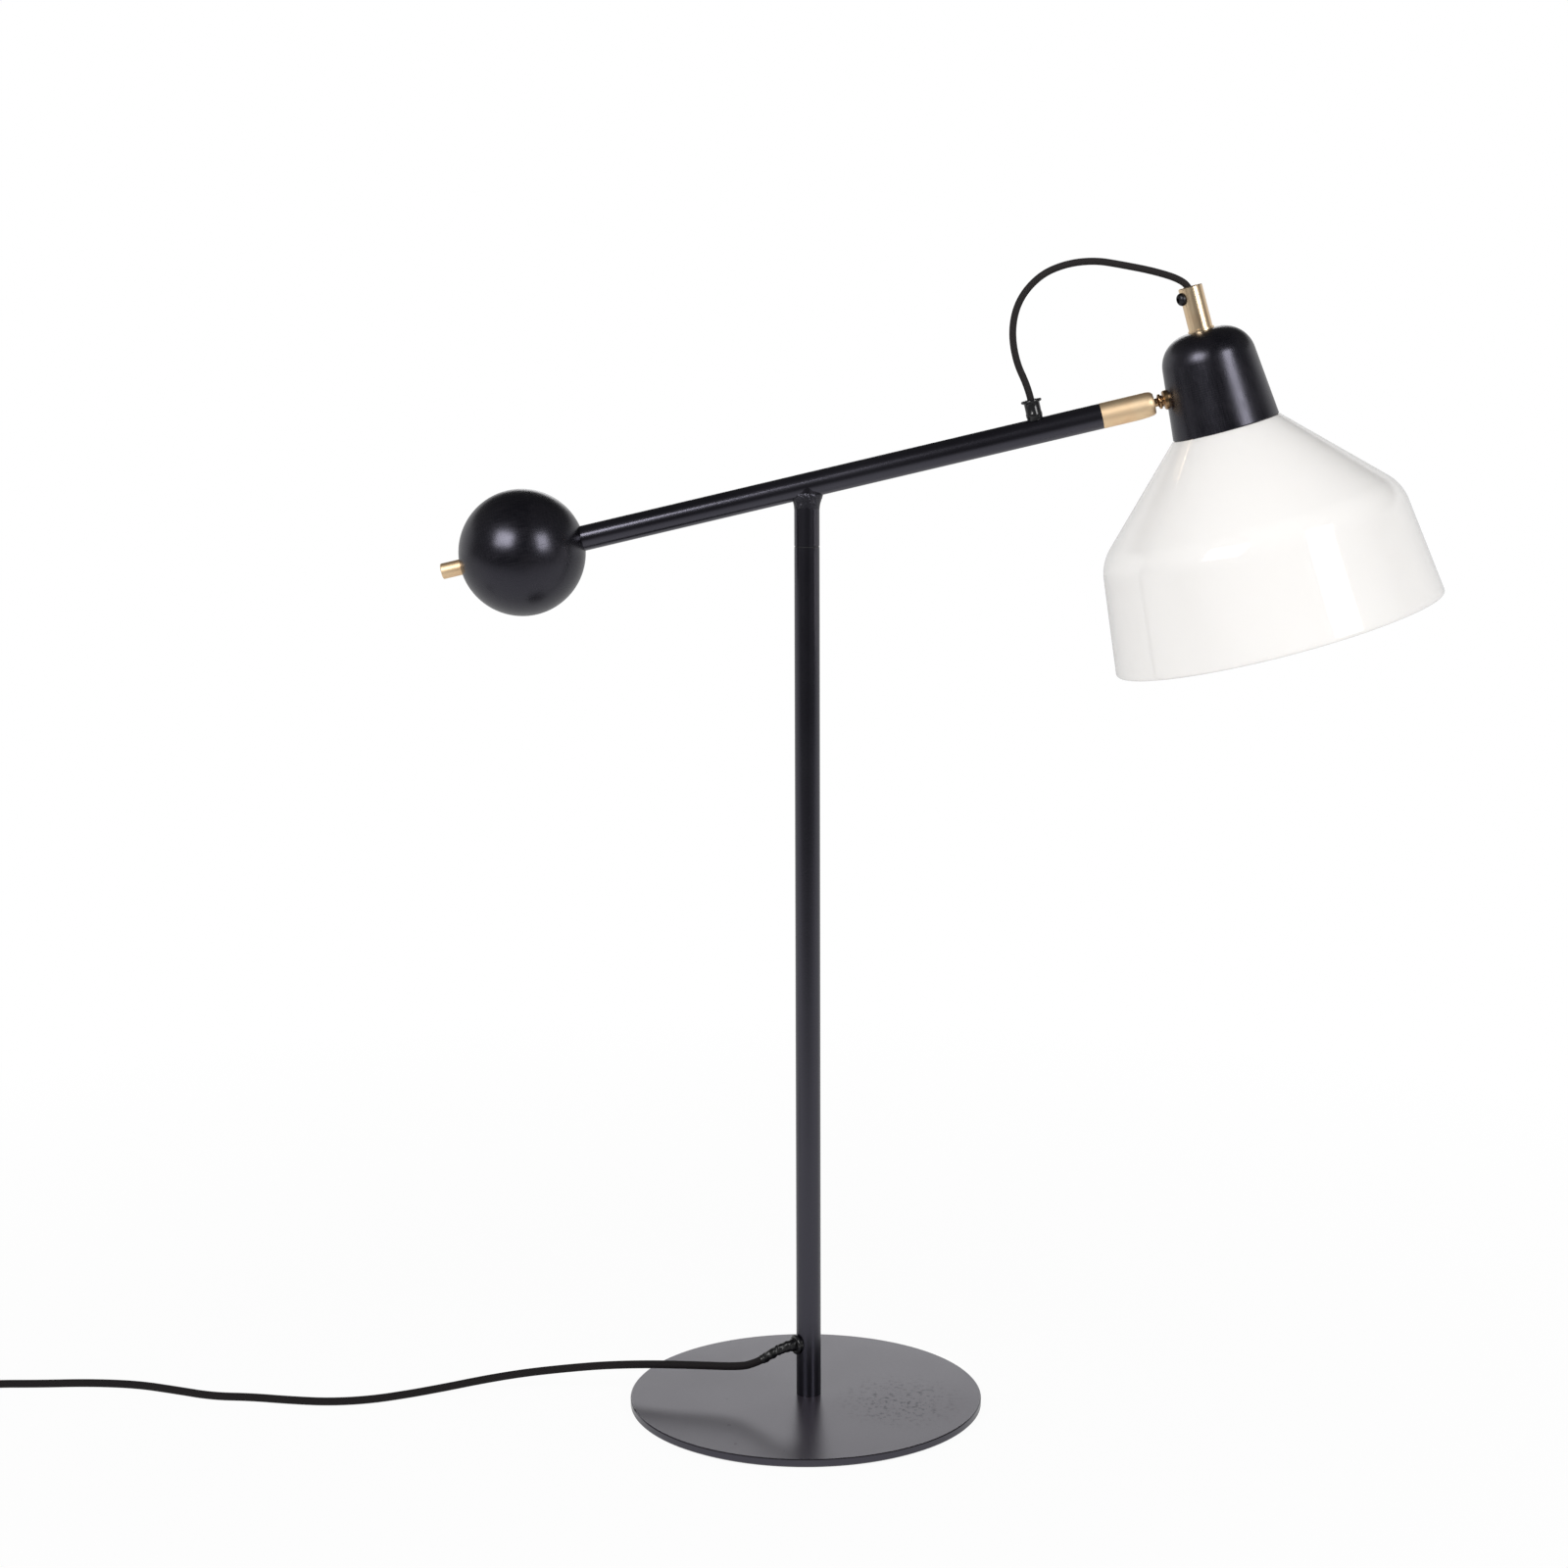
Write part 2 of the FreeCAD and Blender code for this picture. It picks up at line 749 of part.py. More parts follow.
def holder_pieces():
    pieces = {}
    body = turned(
        (holder_radius - holder_wall, -holder_below),
        (holder_radius, -holder_below),
        (holder_radius, 0),
        (holder_flange_radius, 0),
        (holder_flange_radius, holder_flange_height),
        (holder_radius, holder_flange_height),
        (holder_radius, holder_above),
        (holder_radius - holder_wall, holder_above))
    pieces["lampholder_body"] = on_head(body)

    cap_top = holder_above + holder_cap_height
    nipple_foot = cap_top - head_nipple_engagement
    cap = turned(
        (holder_radius - holder_cap_wall, holder_above),
        (holder_radius, holder_above),
        (holder_cap_top_radius, cap_top),
        (nipple_radius + running_gap, cap_top),
        (nipple_radius + running_gap, nipple_foot - holder_cap_wall),
        (holder_cap_top_radius - holder_cap_wall, nipple_foot - holder_cap_wall))
    pieces["lampholder_cap"] = on_head(cap)

    insert_radius = holder_radius - holder_wall - running_gap
    insert = turned(
        (insert_bore, -holder_below), (insert_radius, -holder_below),
        (insert_radius, insert_top), (0, insert_top),
        (0, insert_floor), (insert_bore, insert_floor))
    pieces["lampholder_insert"] = on_head(insert)

    side_foot = -contact_place - contact_height
    reach = bulb_base_radius + running_gap
    band = ring(insert_bore - running_gap, reach, side_foot, -contact_place)
    keep = Part.makeBox(insert_bore * 2, contact_width, contact_height,
                        V(-insert_bore, -contact_width / 2, side_foot))
    contact = rod(centre_contact_radius, insert_floor - centre_contact_height, insert_floor)
    contacts = Part.makeCompound([contact] + band.common(keep).Solids)
    pieces["lampholder_contacts"] = on_head(contacts)

    ring_top = -shade_wall
    pieces["shade_ring"] = on_head(ring(
        shade_ring_radius, holder_radius + running_gap, ring_top - shade_ring_height, ring_top))
    return pieces


def shade_outline(inset):
    # Cone, rounded shoulder and flared wall, drawn in by the wall: (radius, height) of the
    # neck, of the shoulder's arc (start, middle, end) and of the rim. Heights run down.
    cone = math.radians(shade_cone_angle)
    drop = (shade_shoulder_radius - shade_neck_radius) / math.tan(cone)
    wall_run = shade_height - drop
    flare = math.atan((shade_rim_radius - shade_shoulder_radius) / wall_run)
    turn = cone - flare
    centre_radius = (shade_shoulder_radius - shade_shoulder_fillet
                     * math.tan(turn / 2) * math.sin(cone)
                     - shade_shoulder_fillet * math.cos(cone))
    centre_height = -drop + shade_shoulder_fillet * (
        math.tan(turn / 2) * math.cos(cone) - math.sin(cone))
    fillet = shade_shoulder_fillet - inset
    points = []
    for angle in (cone, (cone + flare) / 2, flare):
        points.append((centre_radius + fillet * math.cos(angle),
                       centre_height + fillet * math.sin(angle)))
    start, middle, end = points
    down = -shade_height
    rim = (end[0] + (end[1] - down) * math.tan(flare), down)
    neck_height = -inset
    neck = (start[0] - (neck_height - start[1]) * math.tan(cone), neck_height)
    return neck, start, middle, end, rim


def shade_piece():
    # Opal glass with a flat collar at its neck, clamped by the ring under the lampholder.
    neck, start, middle, end, rim = shade_outline(0)
    inner_neck, inner_start, inner_middle, inner_end, inner_rim = shade_outline(shade_wall)
    lip = shade_wall / 2
    rim_middle = ((rim[0] + inner_rim[0]) / 2, rim[1] - lip)
    glass = turned(
        (holder_radius + slip_gap, 0), neck, start, (middle, end), rim,
        (rim_middle, inner_rim), inner_end, (inner_middle, inner_start), inner_neck,
        (holder_radius + slip_gap, -shade_wall))
    return on_head(glass)


def bulb_pieces():
    pieces = {}
    base_top = insert_floor - centre_contact_height - running_gap
    shell_top = base_top - bulb_nub_height
    shell_foot = shell_top - bulb_base_length
    base = turned(
        (0, shell_foot), (bulb_base_radius, shell_foot),
        (bulb_base_radius, shell_top - edge_break),
        (bulb_base_radius - edge_break, shell_top),
        (bulb_nub_radius, shell_top), (bulb_nub_radius - edge_break, base_top), (0, base_top))
    pieces["bulb_base"] = on_head(base)

    # Round envelope tangent to the tapered neck
    tip = shell_foot - bulb_length
    centre = tip + bulb_radius
    neck_drop = shell_foot - centre
    reach = math.hypot(bulb_neck_radius, neck_drop)
    tangent = math.atan2(neck_drop, bulb_neck_radius) - math.acos(bulb_radius / reach)

    def envelope(radius, neck_radius, foot):
        touch = (radius * math.cos(tangent), centre + radius * math.sin(tangent))
        bend = (tangent - math.pi / 2) / 2
        middle = (radius * math.cos(bend), centre + radius * math.sin(bend))
        return turned((0, foot), (neck_radius, foot), touch, (middle, (0, centre - radius)))

    outer = envelope(bulb_radius, bulb_neck_radius, shell_foot)
    inner = envelope(bulb_radius - bulb_glass_wall, bulb_neck_radius - bulb_glass_wall,
                     shell_foot - bulb_glass_wall)
    pieces["bulb_glass"] = on_head(outer.cut(inner))
    return pieces


def loop_pieces():
    # One cord in two lengths, which meet at the top of its arch.
    top = cap_height + grip_length
    mouth = head_origin + head_up * (top - grip_entry_depth)
    seat = mouth - head_up * grip_entry_length
    face = arm_centre + arm_way * arm_gland_place + arm_up * (tube_radius + arm_gland_height)
    rise = [face + step for step in vectors(steps_from_gland)]
    fall = [mouth + step for step in vectors(steps_from_grip)]
    crest = (rise[-1] + fall[0]) / 2
    lower = [face] + rise + [crest]
    upper = [crest] + fall + [mouth, seat]
    return {"loop_cord_lower": cord("loop_cord_lower", lower, loop_radius),
            "loop_cord_upper": cord("loop_cord_upper", upper, loop_radius)}


def lead_pieces():
    pieces = {}
    points = vectors(lead_route)
    face = V(pole_offset, 0, base_gland_height) + gland_way() * (
        tube_radius + base_gland_height_out)
    way = points[1] - points[0]
    way.normalize()
    root = points[0] - face
    # A tapered sleeve that bends down between the gland's face and the start of the lead
    bend = face + gland_way() * (root.Length / 2)
    middle = (face + bend * 2 + points[0]) / 4
    end_radius = lead_radius + edge_break
    sections = [Part.Wire(Part.makeCircle(radius, place, normal)) for radius, place, normal in (
        (sleeve_root_radius, face, gland_way()),
        ((sleeve_root_radius + end_radius) / 2, middle, root),
        (end_radius, points[0], way))]
    pieces["lead_sleeve"] = Part.makeLoft(sections, True, False)
    pieces["mains_lead"] = cord("mains_lead", points, lead_radius)
    return pieces


def plan_outline(half_length, half_width, half_end, corner):
    # A long body seen from above, narrower at its two ends, with rounded shoulders.
    bend = half_length - corner * 2
    points = [V(-half_length, -half_end, 0), V(-bend, -half_width, 0), V(bend, -half_width, 0),
              V(half_length, -half_end, 0), V(half_length, half_end, 0),
              V(bend, half_width, 0), V(-bend, half_width, 0), V(-half_length, half_end, 0)]
    return Part.Face(Part.makePolygon(points + points[:1]))


def switch_place():
    end = lead_route[-1]
    return V(end[0] - switch_length / 2, end[1], 0)


def switch_pieces():
    pieces = {}
    half_length = switch_length / 2
    half_width = switch_width / 2
    split = switch_height * switch_split_share
    face = plan_outline(half_length, half_width, half_width * switch_end_share, switch_corner)
    body = face.extrude(V(0, 0, switch_height))
    uprights = [edge for edge in body.Edges
                if abs(edge.Vertexes[0].Z - edge.Vertexes[1].Z) > switch_edge]
    body = body.makeFillet(switch_edge, uprights)
    level = [edge for edge in body.Edges
             if edge.BoundBox.ZLength < slip_gap]
    body = body.makeFillet(switch_edge * switch_split_share, level)
    room = plan_outline(half_length - switch_wall, half_width - switch_wall,
                        half_width * switch_end_share - switch_wall, switch_corner)
    room = room.extrude(V(0, 0, switch_height - switch_wall * 2))
    room.translate(V(0, 0, switch_wall))
    shell = body.cut(room)

    slab = Part.makeBox(switch_length * 2, switch_width * 2, split,
                        V(-switch_length, -switch_width, 0))
    lower = shell.common(slab)
    upper = shell.cut(slab)
    window = Part.makeBox(rocker_length + rocker_gap * 2, rocker_width + rocker_gap * 2,
                          switch_height,
                          V(-rocker_length / 2 - rocker_gap, -rocker_width / 2 - rocker_gap,
                            split))
    upper = upper.cut(window)

    # Cheeks that carry the rocker's pin
    pin_height = switch_height - rocker_pivot_radius * 2
    cheek_low = split + switch_wall
    cheek_y = rocker_width / 2 + rocker_gap
    for side in (-1, 1):
        foot_y = cheek_y if side > 0 else -cheek_y - switch_wall
        cheek = Part.makeBox(rocker_pivot_radius * 4, switch_wall,
                             switch_height - switch_wall / 2 - cheek_low,
                             V(-rocker_pivot_radius * 2, foot_y, cheek_low))
        upper = upper.fuse(cheek)
    bore = Part.makeCylinder(rocker_pivot_radius + running_gap, switch_width,
                             V(0, -switch_width / 2, pin_height), V(0, 1, 0))
    inside = Part.makeBox(switch_length, (cheek_y + switch_wall) * 2, switch_height,
                          V(-half_length, -cheek_y - switch_wall, 0))
    upper = upper.cut(bore.common(inside)).removeSplitter()

    # The rocker rests with one of its two halves level
    rocker = rocker_solid(pin_height)
    rocker.rotate(V(0, 0, pin_height), V(0, 1, 0), rocker_bend / 2)

    screws = []
    for side in (-1, 1):
        x = side * switch_length * switch_screw_place_share
        post_radius = switch_screw_radius + switch_wall / 2
        upper = upper.fuse(rod(post_radius, split, switch_height - switch_wall / 2, x))
        lower = lower.fuse(rod(post_radius + switch_wall / 2, switch_wall / 2,
                               split - running_gap, x))
        lower = lower.cut(rod(switch_screw_head_radius + slip_gap, -cut_overrun,
                              switch_screw_head_height, x))
        lower = lower.cut(rod(switch_screw_radius + running_gap, 0, split, x))
        upper = upper.cut(rod(switch_screw_radius + running_gap, split - cut_overrun,
                              switch_screw_length + slip_gap, x))
        screws.append(rod(switch_screw_head_radius, slip_gap, switch_screw_head_height, x).fuse(
            rod(switch_screw_radius, slip_gap, switch_screw_length, x)).removeSplitter())

    # The lead and its onward length end in a round mouth at each end
    mouth_z = lead_route[-1][2]
    shapes = (("switch_lower_shell", lower.removeSplitter()),
              ("switch_upper_shell", upper.removeSplitter()),
              ("switch_rocker", rocker), ("switch_screws", Part.makeCompound(screws)))
    mouths = Part.makeCylinder(lead_core_radius, switch_length + cut_overrun * 2,
                               V(-half_length - cut_overrun, 0, mouth_z), V(1, 0, 0))
    for name, shape in shapes:
        if name.endswith("shell"):
            shape = shape.cut(mouths)
        shape.translate(switch_place())
        pieces[name] = shape
    return pieces


def rocker_solid(pin_height):
    # Seen from the side: two flat halves that meet in a shallow valley over the pin.
    half = rocker_length / 2
    rise = half * math.tan(math.radians(rocker_bend / 2))
    valley = switch_height + rocker_crown / 2
    points = [V(-half, 0, switch_height + slip_gap - rocker_depth / 2),
              V(-half, 0, valley + rise), V(0, 0, valley), V(half, 0, valley + rise),
              V(half, 0, switch_height + slip_gap - rocker_depth / 2),
              V(0, 0, switch_height - rocker_depth)]
    face = Part.Face(Part.makePolygon(points + points[:1]))
    body = face.extrude(V(0, rocker_width, 0))
    body.translate(V(0, -rocker_width / 2, 0))
    pin_half = rocker_width / 2 + rocker_gap + switch_wall - running_gap
    pin = Part.makeCylinder(rocker_pivot_radius, pin_half * 2, V(0, -pin_half, pin_height),
                            V(0, 1, 0))
    return body.fuse(pin).removeSplitter()


def biarc(start, start_way, end, end_way):
    # Two arcs that leave along start_way, meet smoothly and arrive along end_way.
    span = end - start
    lean = span.dot(start_way + end_way)
    side = 1 - start_way.dot(end_way)
    reach = (math.sqrt(lean ** 2 + 2 * side * span.dot(span)) - lean) / (2 * side)
    first = start + start_way * reach
    second = end - end_way * reach
    joint = (first + second) / 2
    edges = []
    for near, corner, far in ((start, first, joint), (joint, second, end)):
        back = near - corner
        ahead = far - corner
        bisector = back.normalize() + ahead.normalize()
        bisector.normalize()
        half = (near - corner).getAngle(far - corner) / 2
        radius = reach * math.tan(half)
        middle = corner + bisector * (radius / math.sin(half) - radius)
        edges.append(Part.Arc(near, middle, far).toShape())
    return edges


def coil_path():
    # Spirals in on the floor, climbs in the half turn where it reverses, and spirals out above.
    half_turns = coil_turn_count * 2
    centre_y = coil_centre_y()
    radii = [coil_outer_radius - coil_step * index / 2 for index in range(half_turns + 1)]
    outward = list(reversed(radii))
    level = [0] * len(radii) + [1] * len(outward)
    stations = []
    side = 1
    for radius, layer in zip(radii + outward, level):
        place = V(coil_centre_x, centre_y + side * radius,
                  coil_floor + lead_radius + layer * coil_lift)
        stations.append((place, V(-side, 0, 0)))
        side = -side
    edges = []
    for (start, way), (end, end_way) in zip(stations, stations[1:]):
        edges += biarc(start, way, end, end_way)
    first, first_way = stations[0]
    last, last_way = stations[-1]
    run = lead_radius * 2
    edges.insert(0, Part.LineSegment(first - first_way * run, first).toShape())
    edges.append(Part.LineSegment(last, last + last_way * run).toShape())
    return edges


def coil_centre_y():
    # The coil's outer turn lies in line with the switch.
    return switch_place().y - coil_outer_radius


def least_gap(edges, radius):
    # Measured on points along the path, away from the neighbours of each point.
    path = Part.Wire(edges)
    count = int(path.Length / radius)
    points = path.discretize(Number=count)
    skip = int(math.pi * radius * 2 * 2 / (path.Length / count))
    least = path.Length
    for index, point in enumerate(points):
        for other in points[index + skip:]:
            least = min(least, point.distanceToPoint(other))
    return least - radius * 2


def coil_pieces():
    pieces = {}
    edges = coil_path()
    solid, length = swept(edges, lead_radius)
    print("lead_coil: length %.1f, volume share %.4f, least gap to itself %.2f"
          % (length, solid.Volume / (math.pi * lead_radius ** 2 * length),
             least_gap(edges, lead_radius)))
    pieces["lead_coil"] = solid

    start = edges[0].valueAt(edges[0].FirstParameter)
    switch_end = switch_place() - V(switch_length / 2, 0, 0)
    mouth = V(switch_end.x, switch_end.y, lead_route[-1][2])
    span = (mouth - start).Length
    high, low = switch_lead_shares
    onward = [mouth, mouth - V(span * high, 0, 0),
              V(start.x + span * low, start.y, start.z), start]
    pieces["switch_lead"] = cord("switch_lead", onward, lead_radius)

    last = edges[-1]
    exit_point = last.valueAt(last.LastParameter)
    tail = [exit_point] + [exit_point + step for step in vectors(tail_steps)]
    pieces["plug_tail"] = cord("plug_tail", tail, lead_radius)
    pieces["lead_tie"] = tie()
    pieces.update(plug_pieces(tail[-1], tail[-1] - tail[-2]))
    return pieces


def tie():
    # A flat band around the turns on the side nearest the switch.
    outer_turn = coil_outer_radius - coil_step * tie_turn_share
    inner_turn = outer_turn - coil_step * (coil_turn_count - 1)
    bow = (tie_width / 2) ** 2 / (inner_turn - lead_radius)
    near = inner_turn - lead_radius - bow - loose_gap
    far = outer_turn + lead_radius + loose_gap
    high = coil_floor + lead_radius * 2 + coil_lift + loose_gap
    hole = rounded_bar(far - near, high - tie_thickness, tie_corner)
    hole.translate(V(coil_centre_x + near, 0, tie_thickness))
    band = rounded_bar(far - near + tie_thickness * 2, high + tie_thickness,
                       tie_corner + tie_thickness)
    band.translate(V(coil_centre_x + near - tie_thickness, 0, 0))
    band = band.cut(hole)
    band.translate(V(0, coil_centre_y() - tie_width / 2, 0))
    return band


def rounded_bar(length, height, corner):
    box = Part.makeBox(length, tie_width, height)
    edges = [edge for edge in box.Edges if edge.BoundBox.YLength > tie_width / 2]
    return box.makeFillet(corner, edges)


def plug_pieces(neck, way):
    # A flat two-pin plug; X runs from its neck to its pins.
    half = plug_width / 2
    neck_half = plug_neck_width / 2
    shoulder = plug_length / 2
    points = [V(0, -neck_half, 0), V(shoulder, -half, 0), V(plug_length, -half, 0),
              V(plug_length, half, 0), V(shoulder, half, 0), V(0, neck_half, 0)]
    face = Part.Face(Part.makePolygon(points + points[:1]))
    body = face.extrude(V(0, 0, plug_height))
    uprights = [edge for edge in body.Edges
                if abs(edge.Vertexes[0].Z - edge.Vertexes[1].Z) > plug_edge]
    body = body.makeFillet(plug_edge, uprights)
    level = [edge for edge in body.Edges if edge.BoundBox.ZLength < slip_gap]
    body = body.makeFillet(plug_edge / 2, level)
    body.translate(V(0, 0, -plug_height / 2))

    pins = []
    for side in (-1, 1):
        y = side * pin_spacing / 2
        pins.append(Part.makeCylinder(pin_radius, pin_length - pin_radius,
                                      V(plug_length, y, 0), V(1, 0, 0)).fuse(
            Part.makeSphere(pin_radius, V(plug_length + pin_length - pin_radius, y, 0))))
    flat_way = V(way.x, way.y, 0)
    turn = FreeCAD.Rotation(V(1, 0, 0), flat_way)
    pieces = {}
    for name, shape in (("plug_body", body), ("plug_pins", Part.makeCompound(
            [pin.removeSplitter() for pin in pins]))):
        shape.Placement = FreeCAD.Placement(neck, turn).multiply(shape.Placement)
        pieces[name] = shape
    return pieces


def build():
    pieces = {}
    for group in (base_pieces, pole_pieces, stub_pieces, arm_pieces, weight_pieces,
                  joint_pieces, grip_pieces, holder_pieces, bulb_pieces, loop_pieces,
                  lead_pieces, switch_pieces, coil_pieces):
        pieces.update(group())
    pieces["wooden_cap"] = cap_piece()
    pieces["glass_shade"] = shade_piece()
    return pieces


os.makedirs("parts", exist_ok=True)
for node, shape in build().items():
    solids = shape.Solids
    print("%s: %d solid(s), volume %.1f, valid %s"
          % (node, len(solids), shape.Volume, shape.isValid()))
    shape.exportStep("parts/%s.step" % node)
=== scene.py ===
import json
import math
import bpy
import numpy as np
from mathutils import Matrix, Vector


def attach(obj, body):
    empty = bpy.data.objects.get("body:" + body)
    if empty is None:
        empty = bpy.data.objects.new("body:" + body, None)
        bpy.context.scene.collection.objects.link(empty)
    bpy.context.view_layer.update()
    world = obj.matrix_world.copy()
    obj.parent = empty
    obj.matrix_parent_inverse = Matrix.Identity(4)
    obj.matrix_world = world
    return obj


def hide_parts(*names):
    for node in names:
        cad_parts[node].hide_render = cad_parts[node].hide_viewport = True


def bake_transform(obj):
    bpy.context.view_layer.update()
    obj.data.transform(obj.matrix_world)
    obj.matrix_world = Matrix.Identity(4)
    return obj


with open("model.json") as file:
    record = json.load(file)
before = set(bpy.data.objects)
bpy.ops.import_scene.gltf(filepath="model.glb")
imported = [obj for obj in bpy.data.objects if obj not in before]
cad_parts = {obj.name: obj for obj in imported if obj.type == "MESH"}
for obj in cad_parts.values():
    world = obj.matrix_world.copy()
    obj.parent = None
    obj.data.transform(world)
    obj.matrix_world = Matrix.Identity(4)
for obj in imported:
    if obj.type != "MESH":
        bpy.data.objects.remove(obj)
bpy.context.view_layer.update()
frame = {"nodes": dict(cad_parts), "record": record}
nodes = frame["nodes"]
scene = bpy.context.scene
scene.view_settings.view_transform = "Standard"
mm = 0.001


# camera, where the photograph was taken from
view = {
    "place": (0.027861, -1.863924, 0.705449),
    "right": (0.99976646, 0.02134918, -0.00335218),
    "up": (-0.0000125, 0.15568694, 0.98780645),
    "lens": 68.075,
    "sensor": 36.0,
}


def addCamera():
    right, up = Vector(view["right"]), Vector(view["up"])
    back = right.cross(up)
    data = bpy.data.cameras.new("camera")
    data.sensor_width = view["sensor"]
    data.sensor_fit = "HORIZONTAL"
    data.lens = view["lens"]
    camera = bpy.data.objects.new("camera", data)
    turn = Matrix((right, up, back)).transposed().to_4x4()
    camera.matrix_world = Matrix.Translation(view["place"]) @ turn
    scene.collection.objects.link(camera)
    scene.camera = camera


addCamera()
print("camera placed")


class Value:
    # wraps one socket, so that sums and products of values add Math nodes
    def __init__(self, tree, socket):
        self.tree, self.socket = tree, socket

    def math(self, operation, *others):
        node = self.tree.nodes.new("ShaderNodeMath")
        node.operation = operation
        for slot, item in zip(node.inputs, others):
            if isinstance(item, Value):
                self.tree.links.new(item.socket, slot)
            else:
                slot.default_value = item
        return Value(self.tree, node.outputs[0])

    def __add__(self, other):
        return self.math("ADD", self, other)

    def __radd__(self, other):
        return self.math("ADD", other, self)

    def __sub__(self, other):
        return self.math("SUBTRACT", self, other)

    def __rsub__(self, other):
        return self.math("SUBTRACT", other, self)

    def __mul__(self, other):
        return self.math("MULTIPLY", self, other)

    def __rmul__(self, other):
        return self.math("MULTIPLY", other, self)

    def __truediv__(self, other):
        return self.math("DIVIDE", self, other)

    def __rtruediv__(self, other):
        return self.math("DIVIDE", other, self)

    def __pow__(self, other):
        return self.math("POWER", self, other)

    def __gt__(self, other):
        return self.math("GREATER_THAN", self, other)

    def __abs__(self):
        return self.math("ABSOLUTE", self)

    def sin(self):
        return self.math("SINE", self)

    def clamp(self):
        return self.math("MINIMUM", self.math("MAXIMUM", self, 0.0), 1.0)

    def ramp(self, low, high):
        # 0 at low, 1 at high, straight between
        return ((self - low) / (high - low)).clamp()


class Finish:
    # one procedural material on a Principled shader
    def __init__(self, name, colour, roughness, **fixed):
        self.material = bpy.data.materials.new(name)
        self.material.use_nodes = True
        self.tree = self.material.node_tree
        self.shader = self.tree.nodes["Principled BSDF"]
        self.shader.inputs["Base Color"].default_value = (*colour, 1.0)
        self.shader.inputs["Roughness"].default_value = roughness
        for socket, value in fixed.items():
            self.shader.inputs[socket.replace("_", " ")].default_value = value

    def add(self, kind, settings=None, values=None, output=0):
        # any node: its settings first, then the values or links of its sockets
        node = self.tree.nodes.new(kind)
        for key, value in (settings or {}).items():
            setattr(node, key, value)
        for key, value in (values or {}).items():
            slot = node.inputs[key]
            if isinstance(value, Value):
                self.tree.links.new(value.socket, slot)
            else:
                slot.default_value = value
        return Value(self.tree, node.outputs[output])

    def spot(self, centre=(0, 0, 0), turn=(0, 0, 0), scale=(1, 1, 1)):
        # object coordinates, moved to a piece's own centre and turned into its own axes
        place = self.add("ShaderNodeTexCoord", output="Object")
        shifted = self.add("ShaderNodeVectorMath", {"operation": "SUBTRACT"}, {0: place, 1: centre})
        turned = self.add("ShaderNodeMapping", {"vector_type": "TEXTURE"},
                          {"Vector": shifted, "Rotation": turn})
        return self.add("ShaderNodeVectorMath", {"operation": "MULTIPLY"}, {0: turned, 1: scale})

    def parts(self, vector):
        # the three numbers of a vector
        node = self.tree.nodes.new("ShaderNodeSeparateXYZ")
        self.tree.links.new(vector.socket, node.inputs[0])
        return [Value(self.tree, out) for out in node.outputs]

    def noise(self, vector, scale, detail=2.0, rough=0.5):
        return self.add("ShaderNodeTexNoise", None,
                        {"Vector": vector, "Scale": scale, "Detail": detail, "Roughness": rough})

    def blend(self, factor, first, second):
        # two colours mixed by a factor that varies over the piece
        node = self.tree.nodes.new("ShaderNodeMix")
        node.data_type = "RGBA"
        for slot, item in ((node.inputs[0], factor), (node.inputs[6], first), (node.inputs[7], second)):
            if isinstance(item, Value):
                self.tree.links.new(item.socket, slot)
            elif isinstance(item, tuple):
                slot.default_value = (*item, 1.0)
            else:
                slot.default_value = item
        return Value(self.tree, node.outputs[2])

    def feed(self, socket, value):
        # leads a value into one of the shader's own sockets
        self.tree.links.new(value.socket, self.shader.inputs[socket])
        return self

    def bump(self, height, depth, strength=1.0):
        # fine relief, depth in metres
        normal = self.add("ShaderNodeBump", None,
                          {"Height": height, "Distance": depth, "Strength": strength})
        return self.feed("Normal", normal)


# what the patterns of the finishes follow
tilt = {"arm": 13.1, "head": 15.5}  # degrees, the arm's rise and the head's lean
armTurn = (0, math.radians(90 - tilt["arm"]), 0)
headTurn = (0, -math.radians(tilt["head"]), 0)
ballCentre = (-0.177406, 0, 0.559252)
capCentre = (0.263236, 0, 0.636457)
blackTint = (0.84, 0.82, 1.0, 1.0)  # the blacks lean a little to violet
plateWearAndEdgeShade = {
    "centre": (0.062, -0.015, 0.006),  # handling marks on the right-hand side
    "fade": (0.012, 0.050),
    "chips": (0.3, 0.1, 0.0),
    "rim": (0.1141, 0.1146),           # radii between which the face ends and the edge begins; the edge beyond is painted darker, a painted shade
    # colour of the dull marks and of the painted shade on the edge
    "dark": (0.012, 0.011, 0.013),
}


def powderCoat(name, colour, roughness, gloss):
    # satin powder coat: fine orange peel, faint cloudiness and a few dust specks
    coat = Finish(name, colour, roughness, Specular_IOR_Level=gloss, Specular_Tint=blackTint)
    place = coat.spot()
    peel = coat.noise(place, 900.0, 3.0, 0.6)
    cloud = coat.noise(place, 14.0, 4.0, 0.55)
    speck = coat.noise(place, 420.0, 1.0).ramp(0.74, 0.78)
    coat.feed("Roughness", roughness + (cloud - 0.5) * 0.09 + (peel - 0.5) * 0.07)
    lifted = tuple(c * 1.6 + 0.004 for c in colour)
    uneven = (cloud.ramp(0.35, 0.7) * 0.4 + speck * 0.5).clamp()
    coat.feed("Base Color", coat.blend(uneven, colour, lifted))
    return coat.bump(peel + speck * 0.5, 0.000035, 0.5)


